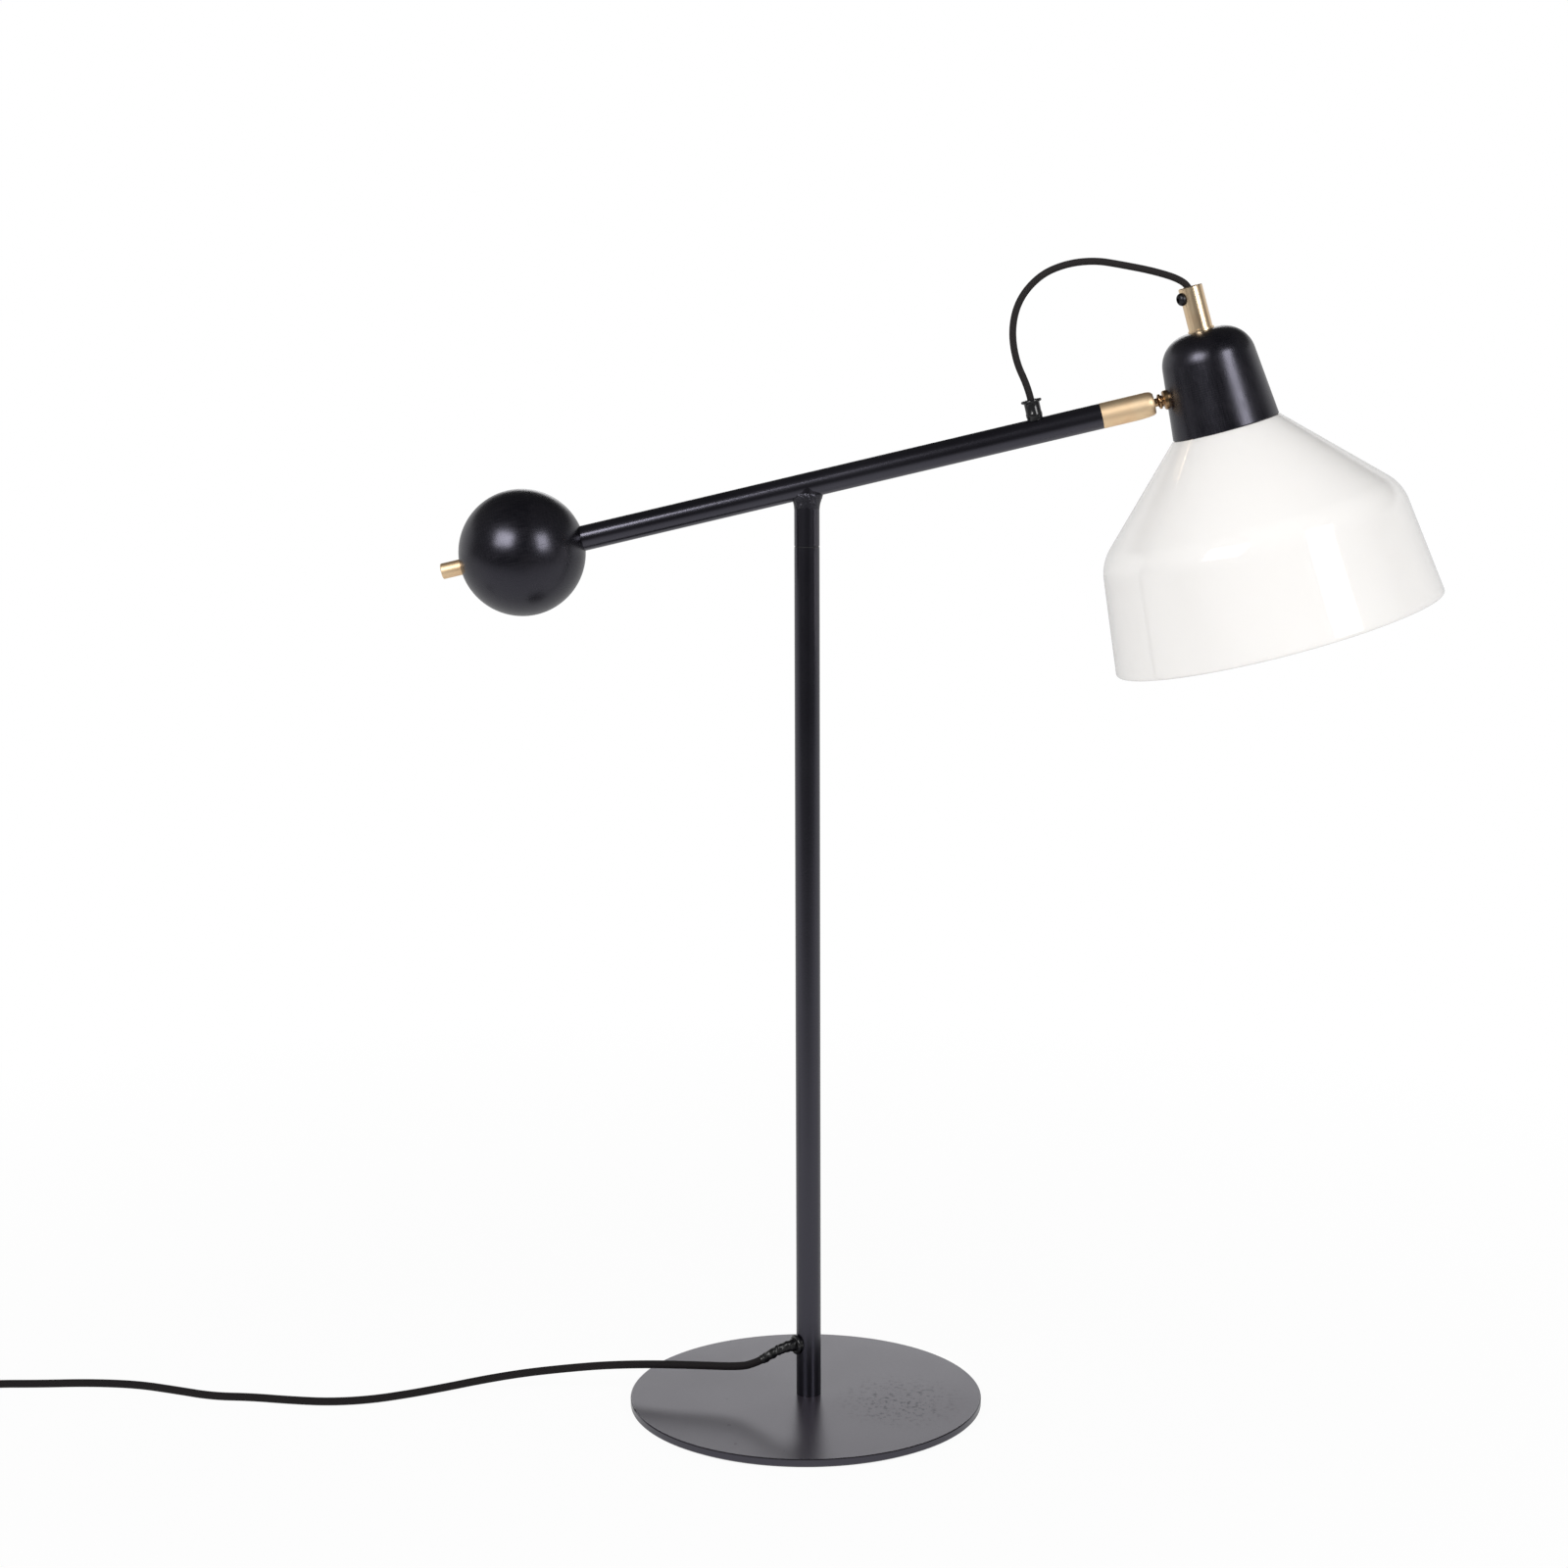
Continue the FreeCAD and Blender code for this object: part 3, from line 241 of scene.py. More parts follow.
def plateCoat(name, colour, roughness, gloss):
    # the plate's coat with dull handling marks on its right-hand side, a few chips, and a painted shade
    # that darkens its edge
    coat = powderCoat(name, colour, roughness, gloss)
    place = coat.spot(plateWearAndEdgeShade["centre"])
    x, y, _ = coat.parts(place)
    patch = 1 - ((x * x * 1.1 + y * y * 0.8) ** 0.5).ramp(*plateWearAndEdgeShade["fade"])
    broken = coat.noise(place, 260.0, 5.0, 0.7).ramp(0.53, 0.60)
    chips = coat.noise(coat.spot(plateWearAndEdgeShade["chips"]), 130.0, 1.0).ramp(0.775, 0.79)
    marks = (patch * broken * 0.8 + chips * 0.5).clamp()
    x, y, _ = coat.parts(coat.spot())
    rim = ((x * x + y * y) ** 0.5).ramp(*plateWearAndEdgeShade["rim"])  # the turned edge is smoother, and its colour is painted darker as a painted shade
    before = coat.shader.inputs["Roughness"].links[0].from_socket
    coat.feed("Roughness", Value(coat.tree, before) + marks * 0.22 - rim * 0.17)
    before = coat.shader.inputs["Base Color"].links[0].from_socket
    # the handling marks dull the coat; the edge is darkened by painted shade
    wearAndEdgeShade = (marks * 0.6 + rim).clamp()
    return coat.feed("Base Color", coat.blend(wearAndEdgeShade, Value(coat.tree, before), plateWearAndEdgeShade["dark"]))


def weldCoat(name, colour, pitted):
    # the same paint where it has run over weld metal: glossier, with pits and ripples
    coat = Finish(name, colour, 0.26, Specular_Tint=blackTint)
    place = coat.spot()
    ripple = coat.noise(place, 620.0, 3.0, 0.6)
    pits = coat.noise(place, 260.0, 2.0, 0.5).ramp(0.62, 0.72)
    coat.feed("Roughness", 0.20 + ripple * 0.16)
    coat.feed("Base Color", coat.blend(pits * 0.6, colour, pitted))
    return coat.bump(ripple - pits * 0.8, 0.00045, 0.7)


def stainedWood(name, centre, turn, ringScale):
    # black stained timber under satin lacquer: long fibres along the piece, turning rings round it
    wood = Finish(name, (0.007, 0.007, 0.008), 0.32, Specular_IOR_Level=0.62, Specular_Tint=blackTint)
    place = wood.spot(centre, turn)
    _, _, z = wood.parts(place)
    fibres = wood.noise(wood.spot(centre, turn, (1.0, 1.0, 0.05)), 1100.0, 4.0, 0.6)
    pores = wood.noise(wood.spot(centre, turn, (1.0, 1.0, 0.10)), 700.0, 2.0, 0.5).ramp(0.62, 0.74)
    worn = wood.noise(place, 38.0, 4.0, 0.6).ramp(0.42, 0.70)
    rings = (z * ringScale + wood.noise(place, 60.0) * 3.0).sin() * 0.5 + 0.5
    rings = rings * wood.noise(wood.spot(centre, turn, (0.15, 0.15, 1.0)), 240.0, 2.0)
    wood.feed("Roughness", 0.20 + fibres * 0.10 + pores * 0.06 + rings * 0.03 + worn * 0.07)
    pale = (fibres.ramp(0.40, 0.75) * 0.35 + rings * 0.12 + worn * 0.35).clamp()
    wood.feed("Base Color", wood.blend(pale, (0.0018, 0.0018, 0.0030), (0.0125, 0.0112, 0.0134)))
    return wood.bump(fibres * 0.35 - pores * 0.50 + rings * 0.2, 0.00005, 0.5)


def brushedBrass(name, centre, turn, rough):
    # lacquered brass: fine brush lines along the piece, a few darker streaks
    metal = Finish(name, (0.86, 0.67, 0.44), 0.3, Metallic=1.0)
    lines = metal.noise(metal.spot(centre, turn, (1.0, 1.0, 0.02)), 3200.0, 3.0, 0.6)
    cloud = metal.noise(metal.spot(centre, turn), 60.0, 3.0, 0.5)
    metal.feed("Roughness", rough + lines * 0.14 + cloud * 0.05)
    pale = (lines * 0.5 + cloud.ramp(0.3, 0.8) * 0.5).clamp()
    metal.feed("Base Color", metal.blend(pale, (0.93, 0.62, 0.36), (1.00, 0.86, 0.61)))
    return metal.bump(lines, 0.00003, 0.6)


def plainMetal(name, colour, roughness):
    # turned or plated metal with a fine grain and faint clouds
    metal = Finish(name, colour, roughness, Metallic=1.0)
    place = metal.spot()
    grain = metal.noise(place, 1500.0, 3.0, 0.6)
    cloud = metal.noise(place, 90.0, 3.0, 0.5)
    metal.feed("Roughness", roughness - 0.06 + grain * 0.10 + cloud * 0.08)
    duller = tuple(c * 0.82 for c in colour)
    metal.feed("Base Color", metal.blend(cloud.ramp(0.3, 0.7) * 0.6, colour, duller))
    return metal.bump(grain, 0.00003, 0.5)


def moulded(name, colour, roughness, scale=1400.0, depth=0.00004):
    # moulded plastic or rubber with a fine spark-eroded grain
    plastic = Finish(name, colour, roughness)
    place = plastic.spot()
    grain = plastic.noise(place, scale, 2.0, 0.6)
    cloud = plastic.noise(place, 40.0, 3.0, 0.5)
    lifted = tuple(c * 1.35 + 0.002 for c in colour)
    plastic.feed("Roughness", roughness + (cloud - 0.5) * 0.12 + (grain - 0.5) * 0.06)
    plastic.feed("Base Color", plastic.blend(cloud.ramp(0.3, 0.75) * 0.7, colour, lifted))
    return plastic.bump(grain, depth, 0.5)


def opalGlass(name, colour, roughness, ripple):
    # white opal glass under a clear glossy skin, with slow waves from blowing
    glass = Finish(name, colour, roughness, Coat_Weight=0.5, Coat_Roughness=0.02, IOR=1.5,
                   Subsurface_Weight=0.55, Subsurface_Scale=0.020, Subsurface_Radius=(1.0, 0.96, 0.92))
    place = glass.spot()
    slow = glass.noise(place, 9.0, 2.0, 0.4)
    fine = glass.noise(place, 160.0, 2.0, 0.5)
    deeper = tuple(c * 0.975 for c in colour)
    glass.feed("Roughness", roughness + (fine - 0.5) * 0.03)
    glass.feed("Base Color", glass.blend(slow.ramp(0.3, 0.7), colour, deeper))
    return glass.bump(slow + fine * 0.02, ripple, 0.5)


def braid(name, around, pitch, dark, light):
    # two sets of yarns that cross: along the cord is u in metres, round it is v from 0 to 1
    cloth = Finish(name, dark, 0.72, Sheen_Weight=0.05, Sheen_Roughness=0.4, Specular_IOR_Level=0.2)
    uv = cloth.add("ShaderNodeUVMap", {"uv_map": "UVMap"})
    u, v, _ = cloth.parts(uv)
    left = (u / pitch + v * around) * math.pi
    right = (u / pitch - v * around) * math.pi
    leftYarn, rightYarn = abs(left.sin()), abs(right.sin())
    over = (left * 0.5).sin() * (right * 0.5).sin() > 0.0
    height = over * leftYarn + (1 - over) * rightYarn
    fuzz = cloth.noise(cloth.spot(), 5200.0, 2.0, 0.7)
    # yarn crowns painted lighter and the grooves between yarns painted darker, a painted shade, mixed with
    # random fuzz
    fuzzAndYarnShade = (height * 0.55 + fuzz * 0.45).ramp(0.25, 0.95)
    cloth.feed("Base Color", cloth.blend(fuzzAndYarnShade, dark, light))
    cloth.feed("Roughness", 0.62 + fuzz * 0.25)
    return cloth.bump(height + fuzz * 0.35, 0.00022, 0.9)


finishes = {
    "painted_black": powderCoat("satinBlackCoat", (0.0030, 0.0028, 0.0040), 0.225, 0.95),
    "plate": plateCoat("plateCoat", (0.0185, 0.0155, 0.0205), 0.31, 0.97),
    "weldCoat": weldCoat("weldCoat", (0.010, 0.010, 0.012), (0.024, 0.023, 0.024)),
    "ball": stainedWood("blackBallWood", ballCentre, armTurn, 3600.0),
    "cap": stainedWood("blackCapWood", capCentre, headTurn, 4400.0),
    "brassAlong": brushedBrass("brassTube", capCentre, headTurn, 0.21),
    "brassArm": brushedBrass("brassJoint", ballCentre, armTurn, 0.43),
    "brass": plainMetal("brassTurned", (0.50, 0.32, 0.17), 0.25),
    "zinc_steel": plainMetal("zincSteel", (0.55, 0.56, 0.58), 0.38),
    "black_steel": plainMetal("blackenedSteel", (0.05, 0.05, 0.055), 0.35),
    "black_plastic": moulded("glossyBlackMoulding", (0.010, 0.010, 0.011), 0.16, 700.0, 0.00002),
    "matte_black_plastic": moulded("mattBlackMoulding", (0.014, 0.014, 0.015), 0.48),
    "sleeve": moulded("shrunkSleeve", (0.0012, 0.0012, 0.0018), 0.34, 900.0, 0.00010),
    "nylon": moulded("naturalNylon", (0.72, 0.70, 0.64), 0.45),
    "rubber_pad": moulded("padRubber", (0.018, 0.018, 0.018), 0.80, 1100.0, 0.00010),
    "ceramic": moulded("holderCeramic", (0.80, 0.78, 0.73), 0.55, 1200.0, 0.00006),
    "opal_glass": opalGlass("opalShadeGlass", (0.952, 0.914, 0.876), 0.10, 0.0006),
    "bulb_opal": opalGlass("opalBulbGlass", (0.90, 0.89, 0.86), 0.22, 0.0002),
    "black_fabric": braid("braidedCover", 9, 0.0017, (0.0030, 0.0022, 0.0026), (0.014, 0.011, 0.012)),
    "loop_fabric": braid("loopCover", 8, 0.0015, (0.0050, 0.0040, 0.0045), (0.028, 0.024, 0.024)),
}

# each solid takes its slot's finish, but for those that have one of their own
slotOf = {s["node"]: s["material_slot"] for s in frame["record"]["subparts"]}
special = {
    "base_plate": "plate",
    "ball_weight": "ball",
    "wooden_cap": "cap",
    "grip_tube": "brassAlong",
    "joint_housing": "brassArm",
    "ball_rod": "brassArm",
    "swivel_washer": "matte_black_plastic",
}
for name, node in nodes.items():
    finish = finishes[special.get(name, slotOf[name])]
    if not node.material_slots:
        node.data.materials.append(finish.material)
    for materialSlot in node.material_slots:
        materialSlot.material = finish.material
print("finishes made")


def meshFromGrid(name, grid, closed=False, uv=None):
    # grid[row, column] of points: columns run round the piece, rows run along it. Closed, the last row
    # joins the first; otherwise each end is shut by one point at the middle of its row.
    rows, columns, _ = grid.shape
    points = grid.reshape(-1, 3)
    r = np.arange(rows if closed else rows - 1)[:, None]
    c = np.arange(columns)[None, :]
    rNext, cNext = (r + 1) % rows, (c + 1) % columns
    quads = np.stack([r * columns + c, r * columns + cNext, rNext * columns + cNext,
                      rNext * columns + c], axis=-1).reshape(-1, 4)
    faces = [tuple(q) for q in quads.tolist()]
    if not closed:
        first, last = len(points), len(points) + 1
        points = np.vstack([points, grid[0].mean(0), grid[-1].mean(0)])
        ring = np.arange(columns)
        after = (ring + 1) % columns
        faces += [(first, int(b), int(a)) for a, b in zip(ring, after)]
        base = (rows - 1) * columns
        faces += [(last, int(base + a), int(base + b)) for a, b in zip(ring, after)]
    mesh = bpy.data.meshes.new(name)
    mesh.from_pydata(points.tolist(), [], faces)
    if uv is not None:
        addUv(mesh, uv, rows, columns)
    mesh.validate()
    mesh.update()
    piece = bpy.data.objects.new(name, mesh)
    scene.collection.objects.link(piece)
    return piece


def addUv(mesh, uv, rows, columns):
    # uv(row, column) over whole arrays; the last column of faces takes the next turn's value
    loops = np.empty(len(mesh.loops), int)
    mesh.loops.foreach_get("vertex_index", loops)
    row, column = loops // columns, loops % columns
    row = np.minimum(row, rows - 1)
    starts = np.empty(len(mesh.polygons), int)
    sizes = np.empty(len(mesh.polygons), int)
    mesh.polygons.foreach_get("loop_start", starts)
    mesh.polygons.foreach_get("loop_total", sizes)
    face = np.repeat(np.arange(len(starts)), sizes)
    high = np.zeros(len(starts), int)
    np.maximum.at(high, face, column)
    column = np.where((column == 0) & (high[face] == columns - 1), columns, column)
    layer = mesh.uv_layers.new(name="UVMap")
    layer.data.foreach_set("uv", uv(row, column).astype(np.float32).ravel())


def smooth(piece, angle):
    # smooth shading, but sharp where faces meet at more than the angle in degrees
    piece.data.shade_smooth()
    piece.data.set_sharp_from_angle(angle=math.radians(angle))
    return piece


def dress(piece, finish, body, slot, *replaced):
    # its finish, the body it moves with, its slot (not used) and the solids that it stands for
    piece.data.materials.append(finishes[finish].material)
    if body:
        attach(piece, body)
    if replaced:
        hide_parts(*replaced)
    return piece


def along(path):
    # unit tangents of a row of points, and how far along the row each lies
    steps = np.diff(path, axis=0)
    length = np.concatenate([[0.0], np.cumsum(np.linalg.norm(steps, axis=1))])
    tangent = np.gradient(path, axis=0)
    return tangent / np.linalg.norm(tangent, axis=1)[:, None], length


def frames(path, start):
    # a pair of cross directions that turn as little as they can along the path
    tangent, length = along(path)
    side = np.zeros_like(path)
    guess = np.array(start, float)
    for i, t in enumerate(tangent):
        guess = guess - t * (guess @ t)
        guess /= np.linalg.norm(guess)
        side[i] = guess
    return side, np.cross(tangent, side), length


def tube(name, path, radius, sides, start=(0.0, 0.0, 1.0)):
    # circle of the given radius carried along the path; radius may be one number a ring, or a
    # function of (length along, angle round)
    side, other, length = frames(path, start)
    angle = np.linspace(0, 2 * math.pi, sides, endpoint=False)
    if callable(radius):
        reach = radius(length[:, None], angle[None, :])
    else:
        reach = np.broadcast_to(np.reshape(radius, (-1, 1)), (len(path), sides))
    out = np.cos(angle)[None, :, None] * side[:, None, :] + np.sin(angle)[None, :, None] * other[:, None, :]
    grid = path[:, None, :] + reach[:, :, None] * out

    def uv(row, column):
        return np.stack([length[row], column / sides], axis=-1)

    return smooth(meshFromGrid(name, grid, uv=uv), 60.0)


def splineLine(points, perRun):
    # the smooth line that a NURBS spline draws along a cord's route
    curve = bpy.data.curves.new("route", "CURVE")
    curve.dimensions = "3D"
    curve.resolution_u = perRun
    spline = curve.splines.new("NURBS")
    spline.points.add(len(points) - 1)
    flat = np.column_stack([points, np.ones(len(points))])
    spline.points.foreach_set("co", flat.ravel())
    spline.order_u = 3
    spline.use_endpoint_u = True
    holder = bpy.data.objects.new("route", curve)
    scene.collection.objects.link(holder)
    bpy.context.view_layer.update()
    mesh = bpy.data.meshes.new_from_object(holder)
    line = np.empty(len(mesh.vertices) * 3)
    mesh.vertices.foreach_get("co", line)
    bpy.data.objects.remove(holder)
    bpy.data.curves.remove(curve)
    bpy.data.meshes.remove(mesh)
    return line.reshape(-1, 3)


# mains lead: along the floor, through its switch, round the coil and to its plug
lead = {
    "radius": 2.6 * mm,
    "sides": 14,
    "route": [
        (-25.7, -6.9, 33.0), (-35.0, -6.0, 27.6), (-46.0, -1.0, 24.6), (-64.0, 3.0, 23.6),
        (-86.0, 6.0, 23.2), (-109.0, 9.6, 22.0), (-135.0, 14.6, 19.3), (-161.0, 18.8, 15.4),
        (-188.0, 21.4, 11.3), (-214.0, 19.2, 7.5), (-239.0, 12.6, 4.4), (-263.0, 3.6, 2.8),
        (-287.0, -6.8, 2.7), (-313.0, -10.8, 2.6), (-340.0, -7.6, 2.6), (-366.0, -2.4, 2.6),
        (-392.0, -1.2, 2.6), (-419.0, 9.8, 2.6), (-447.0, 20.0, 2.6), (-480.0, 22.8, 2.6),
        (-512.0, 20.4, 2.6), (-540.0, 20.1, 2.6), (-560.0, 16.6, 2.6), (-577.0, 11.0, 3.4),
        (-589.0, 9.0, 7.0), (-600.0, 9.0, 7.0), (-662.0, 9.0, 7.0), (-674.2, 9.0, 7.0),
        (-697.3, 9.0, 3.7), (-722.8, 9.0, 3.7)],
    "coilCentre": (-728.0, -29.0),
    "coilRadius": 38.0,
    "coilStep": 6.8,
    "coilLow": 3.7,
    "coilHigh": 10.3,
    "turnsEachWay": 3,
    "climbTurns": 0.5,
    "pointsPerTurn": 16,
    "tail": [
        (-722.8, -67.0, 10.3), (-710.8, -67.0, 10.3), (-695.8, -70.5, 7.9), (-683.3, -80.0, 6.3),
        (-677.8, -95.0, 7.0), (-677.8, -108.0, 7.0)],
}


def coilRoute():
    # three turns inward on the floor, half a turn that climbs, and three turns outward above
    per, turns, climbTurns = lead["pointsPerTurn"], lead["turnsEachWay"], lead["climbTurns"]
    turn = np.arange(0.5 / per, 2 * turns + climbTurns, 1.0 / per)
    inner = lead["coilRadius"] - turns * lead["coilStep"]
    radius = np.where(turn < turns, lead["coilRadius"] - lead["coilStep"] * turn,
                      inner + lead["coilStep"] * np.maximum(turn - turns - climbTurns, 0))
    radius = radius / math.cos(math.pi / per) ** 0.75  # the spline runs a little inside its points
    climb = np.clip((turn - turns) / climbTurns, 0, 1)
    height = lead["coilLow"] + (lead["coilHigh"] - lead["coilLow"]) * climb * climb * (3 - 2 * climb)
    angle = math.pi / 2 + turn * 2 * math.pi
    x, y = lead["coilCentre"]
    return np.column_stack([x + radius * np.cos(angle), y + radius * np.sin(angle), height])


leadPoints = np.vstack([lead["route"], coilRoute(), lead["tail"]]) * mm
leadLine = splineLine(leadPoints, 8)
leadPiece = tube("mainsLead", leadLine, lead["radius"], lead["sides"])
dress(leadPiece, "black_fabric", "stand", "black_fabric",
      "mains_lead", "switch_lead", "lead_coil", "plug_tail")


# loop cord: from the arm's gland over to the cap's brass tube, in two lengths
loop = {
    "radius": 2.2 * mm,
    "sides": 16,
    "rise": [
        (142.0, 0.0, 652.4), (139.9, 0.0, 661.3), (131.8, -1.5, 678.0), (129.0, -3.0, 698.0),
        (133.5, -4.0, 716.0), (146.0, -4.6, 730.3), (162.0, -4.6, 737.2), (180.0, -4.0, 739.2),
        (188.5, -3.5, 737.8)],
    "fall": [
        (188.5, -3.5, 737.8), (197.0, -3.0, 736.4), (217.0, -1.6, 732.5), (233.4, -0.6, 727.4),
        (239.7, 0.0, 721.3), (242.4, 0.0, 711.6)],
}


def loopPiece(name, key, replaced):
    # one length of the cord, laid fixed along its route; the two bodies that hold its ends don't carry it
    line = splineLine(np.array(loop[key]) * mm, 10)
    piece = tube(name, line, loop["radius"], loop["sides"], (0.0, 1.0, 0.0))
    dress(piece, "loop_fabric", None, "black_fabric", replaced)
    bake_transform(piece)


loopPiece("loopCordRise", "rise", "loop_cord_lower")
loopPiece("loopCordFall", "fall", "loop_cord_upper")
print("cords laid")


def turnedPiece(name, profile, axis, place, steps, bumps=None, closed=False):
    # profile rows are (radius, height along the axis); bumps(angle, row) is added to the radius
    profile = np.array(profile, float)
    up = np.array(axis, float) / np.linalg.norm(axis)
    side = np.cross((0.0, 1.0, 0.0), up)
    side /= np.linalg.norm(side)
    other = np.cross(up, side)
    angle = np.linspace(0, 2 * math.pi, steps, endpoint=False)
    reach = np.repeat(profile[:, :1], steps, axis=1)
    if bumps:
        reach = reach + bumps(angle[None, :], np.arange(len(profile))[:, None])
    out = np.cos(angle)[None, :, None] * side + np.sin(angle)[None, :, None] * other
    grid = np.array(place) + profile[:, 1][:, None, None] * up + reach[:, :, None] * out
    return meshFromGrid(name, grid * mm, closed)


def arc(centre, radius, first, last, steps):
    # points of a round stretch of a profile, angles in degrees from the radius direction
    angle = np.radians(np.linspace(first, last, steps))
    return [(centre[0] + radius * math.cos(a), centre[1] + radius * math.sin(a)) for a in angle]


def fillet(before, corner, after, radius, steps):
    # the arc of the given radius that joins two straight stretches at their corner
    corner = np.array(corner, float)
    one = np.array(before, float) - corner
    two = np.array(after, float) - corner
    one, two = one / np.linalg.norm(one), two / np.linalg.norm(two)
    half = math.acos(np.clip(one @ two, -1, 1)) / 2
    middle = corner + (one + two) / np.linalg.norm(one + two) * radius / math.sin(half)
    reach = radius / math.tan(half)
    begin, end = corner + one * reach - middle, corner + two * reach - middle
    share = np.linspace(0, 1, steps)[:, None]
    swing = math.pi - 2 * half
    points = (begin * np.sin((1 - share) * swing) + end * np.sin(share * swing)) / math.sin(swing)
    return [tuple(p) for p in points + middle]


# opal glass shade; heights run down from the cap's foot
shade = {
    "neck": 34.0,
    "shoulder": 96.0,
    "rim": 105.0,
    "height": 132.0,
    "wall": 2.8,
    "hole": 19.9,
    "holeBreak": 0.4,
    "neckBreak": 0.6,
    "bend": 30.0,     # radius of the shoulder's bend
    "steps": 224,
}
headUp = (-0.26724, 0.0, 0.96363)
headOut = (0.96363, 0.0, 0.26724)
headPlace = (263.236, 0.0, 636.457)
jointCentre = (212.379, 0.0, 649.957)


def offsetProfile(points, distance):
    # the same outline moved to its right-hand side by the wall's thickness
    points = np.array(points)
    way = np.gradient(points, axis=0)
    way /= np.linalg.norm(way, axis=1)[:, None]
    return points + distance * np.column_stack([way[:, 1], -way[:, 0]])


def between(first, last, shares):
    # points at the given shares of the way from the first to the last
    first, last = np.array(first), np.array(last)
    return [tuple(first + (last - first) * t) for t in shares]


def glassShade():
    # a cone of 45 degrees that bends into a nearly straight skirt, one wall thick, with a round rim
    s = shade
    wall, hole, ease = s["wall"], s["hole"], s["holeBreak"]
    neck = (s["neck"], 0.0)
    shoulder = (s["shoulder"], -(s["shoulder"] - s["neck"]))
    rim = (s["rim"], -s["height"])
    outside = [neck] + between(neck, shoulder, (0.01, 0.25, 0.5))
    outside += fillet(neck, shoulder, rim, s["bend"], 26)
    last = np.array(outside[-1])
    outside += between(last, rim, (0.2, 0.4, 0.6, 0.8, 0.97, 1.0))
    inside = offsetProfile(outside, wall)
    inside = inside[inside[:, 1] < -wall * 1.3]
    down = np.array(rim) - last
    down /= np.linalg.norm(down)
    middle = (np.array(outside[-1]) + inside[-1]) / 2
    out = (np.array(outside[-1]) - inside[-1]) / 2
    edge = [tuple(middle + out * math.cos(a) + down * wall / 2 * math.sin(a))
            for a in np.linspace(0, math.pi, 13)[1:-1]]
    under = [(s["neck"] - wall * (math.sqrt(2) - 1), -wall), (hole + ease, -wall), (hole, -wall + ease)]
    over = [(hole, -ease), (hole + ease, 0.0), (s["neck"] - s["neckBreak"], 0.0)]
    profile = outside + edge + [tuple(p) for p in inside[::-1]] + under + over
    piece = turnedPiece("glassShade", profile[::-1], headUp, headPlace, s["steps"], closed=True)
    dress(smooth(piece, 30), "opal_glass", "head", "opal_glass", "glass_shade")


glassShade()
print("shade blown")


# weld bead between the stub and the arm
weld = {
    "place": (2.0, 0.0, 584.5),
    "stub": 8.0,
    "height": 12.5,
    "side": 0.8,
    "end": 1.9,
    "lump": 0.42,
    "lap": 0.05,   # how far the ring's foot lies inside the stub
    "tuck": 1.2,   # how far its last row turns back in under the arm
}


def weldBead():
    # a ring that swells towards the arm: radius = stub + swell(height) * (side + end cos^2 angle) + lumps
    # with swell = 1.35 t^2.2 (1 - t^9), t running from 0 at the ring's foot to 1 at the arm
    t = np.linspace(0, 1, 34)
    swell = 1.35 * t ** 2.2 * (1 - t ** 9)
    profile = np.column_stack([np.full(len(t), weld["stub"] - weld["lap"]), t * weld["height"]])
    profile[-1, 0] -= weld["tuck"]

    def bumps(angle, row):
        drops = np.abs(np.sin(angle * 7.5 + 1.1 * np.sin(3 * angle) + row * 0.11)) - 0.5
        grains = np.sin(angle * 17 + row * 0.9) * np.sin(angle * 5 - row * 0.55 + 1.3)
        reach = weld["side"] + weld["end"] * np.cos(angle) ** 2 + weld["lump"] * (drops + 0.6 * grains)
        return swell[row] * reach

    piece = smooth(turnedPiece("weldBead", profile, (0, 0, 1), weld["place"], 128, bumps), 80)
    dress(piece, "weldCoat", "arm", "painted_black", "arm_weld")


weldBead()

# cable glands: mouth, way out, how far the mouth is lifted along it, and length
gland = {
    "body": 4.9,
    "lip": 6.5,
    "round": 1.0,
    "bore": 3.0,
    "ring": 0.25,                            # height of the raised band round the body
    "ringShares": (0.62, 0.66, 0.80, 0.84),  # of the length, where the band starts, is full, and ends
    "arm": ((142.0, 0.0, 652.37), (-0.22665, 0.0, 0.97398), 1.7, 13.2),
    "base": ((-7.36, -4.98, 41.0), (-0.883, -0.469, 0.0), 0.0, 7.2),
}


def glandPiece(name, key, body, replaced):
    # bushing with a flared, rolled lip; heights are measured back from the mouth's face
    mouth, way, lift, length = gland[key]
    mouth = np.array(mouth) + np.array(way) * lift
    bore, wide, ease = gland["bore"], gland["body"], gland["round"]
    lip = gland["lip"] - ease
    band = [wide, wide + gland["ring"], wide + gland["ring"], wide]
    profile = [(bore, -1.4), (bore + 0.2, -0.5)] + arc((bore + 1.4, -0.9), 0.9, 160, 90, 5)
    profile += arc((lip, -ease), ease, 90, -70, 10)
    profile += fillet((lip, -2 * ease), (wide, -2.2), (wide, -6.0), 0.5, 5)
    profile += [(radius, -length * share) for radius, share in zip(band, gland["ringShares"])]
    profile += [(wide, -length), (bore, -length)]
    piece = smooth(turnedPiece(name, profile[::-1], way, mouth, 56, closed=True), 40)
    dress(piece, "black_plastic", body, "black_plastic", replaced)


glandPiece("armGland", "arm", "arm", "arm_cord_gland")
glandPiece("baseGland", "base", "stand", "base_cord_gland")

# dark sleeve, shrunk over the lead where it leaves the base gland
sleeve = {
    "route": [
        (-5.4, -3.9, 41.0), (-7.4, -5.0, 41.0), (-12.4, -7.0, 40.5), (-18.6, -7.6, 37.9),
        (-24.0, -7.1, 34.2), (-28.4, -6.8, 31.5)],
    "start": 4.35,
    "end": 3.0,
    "fold": 0.30,
}


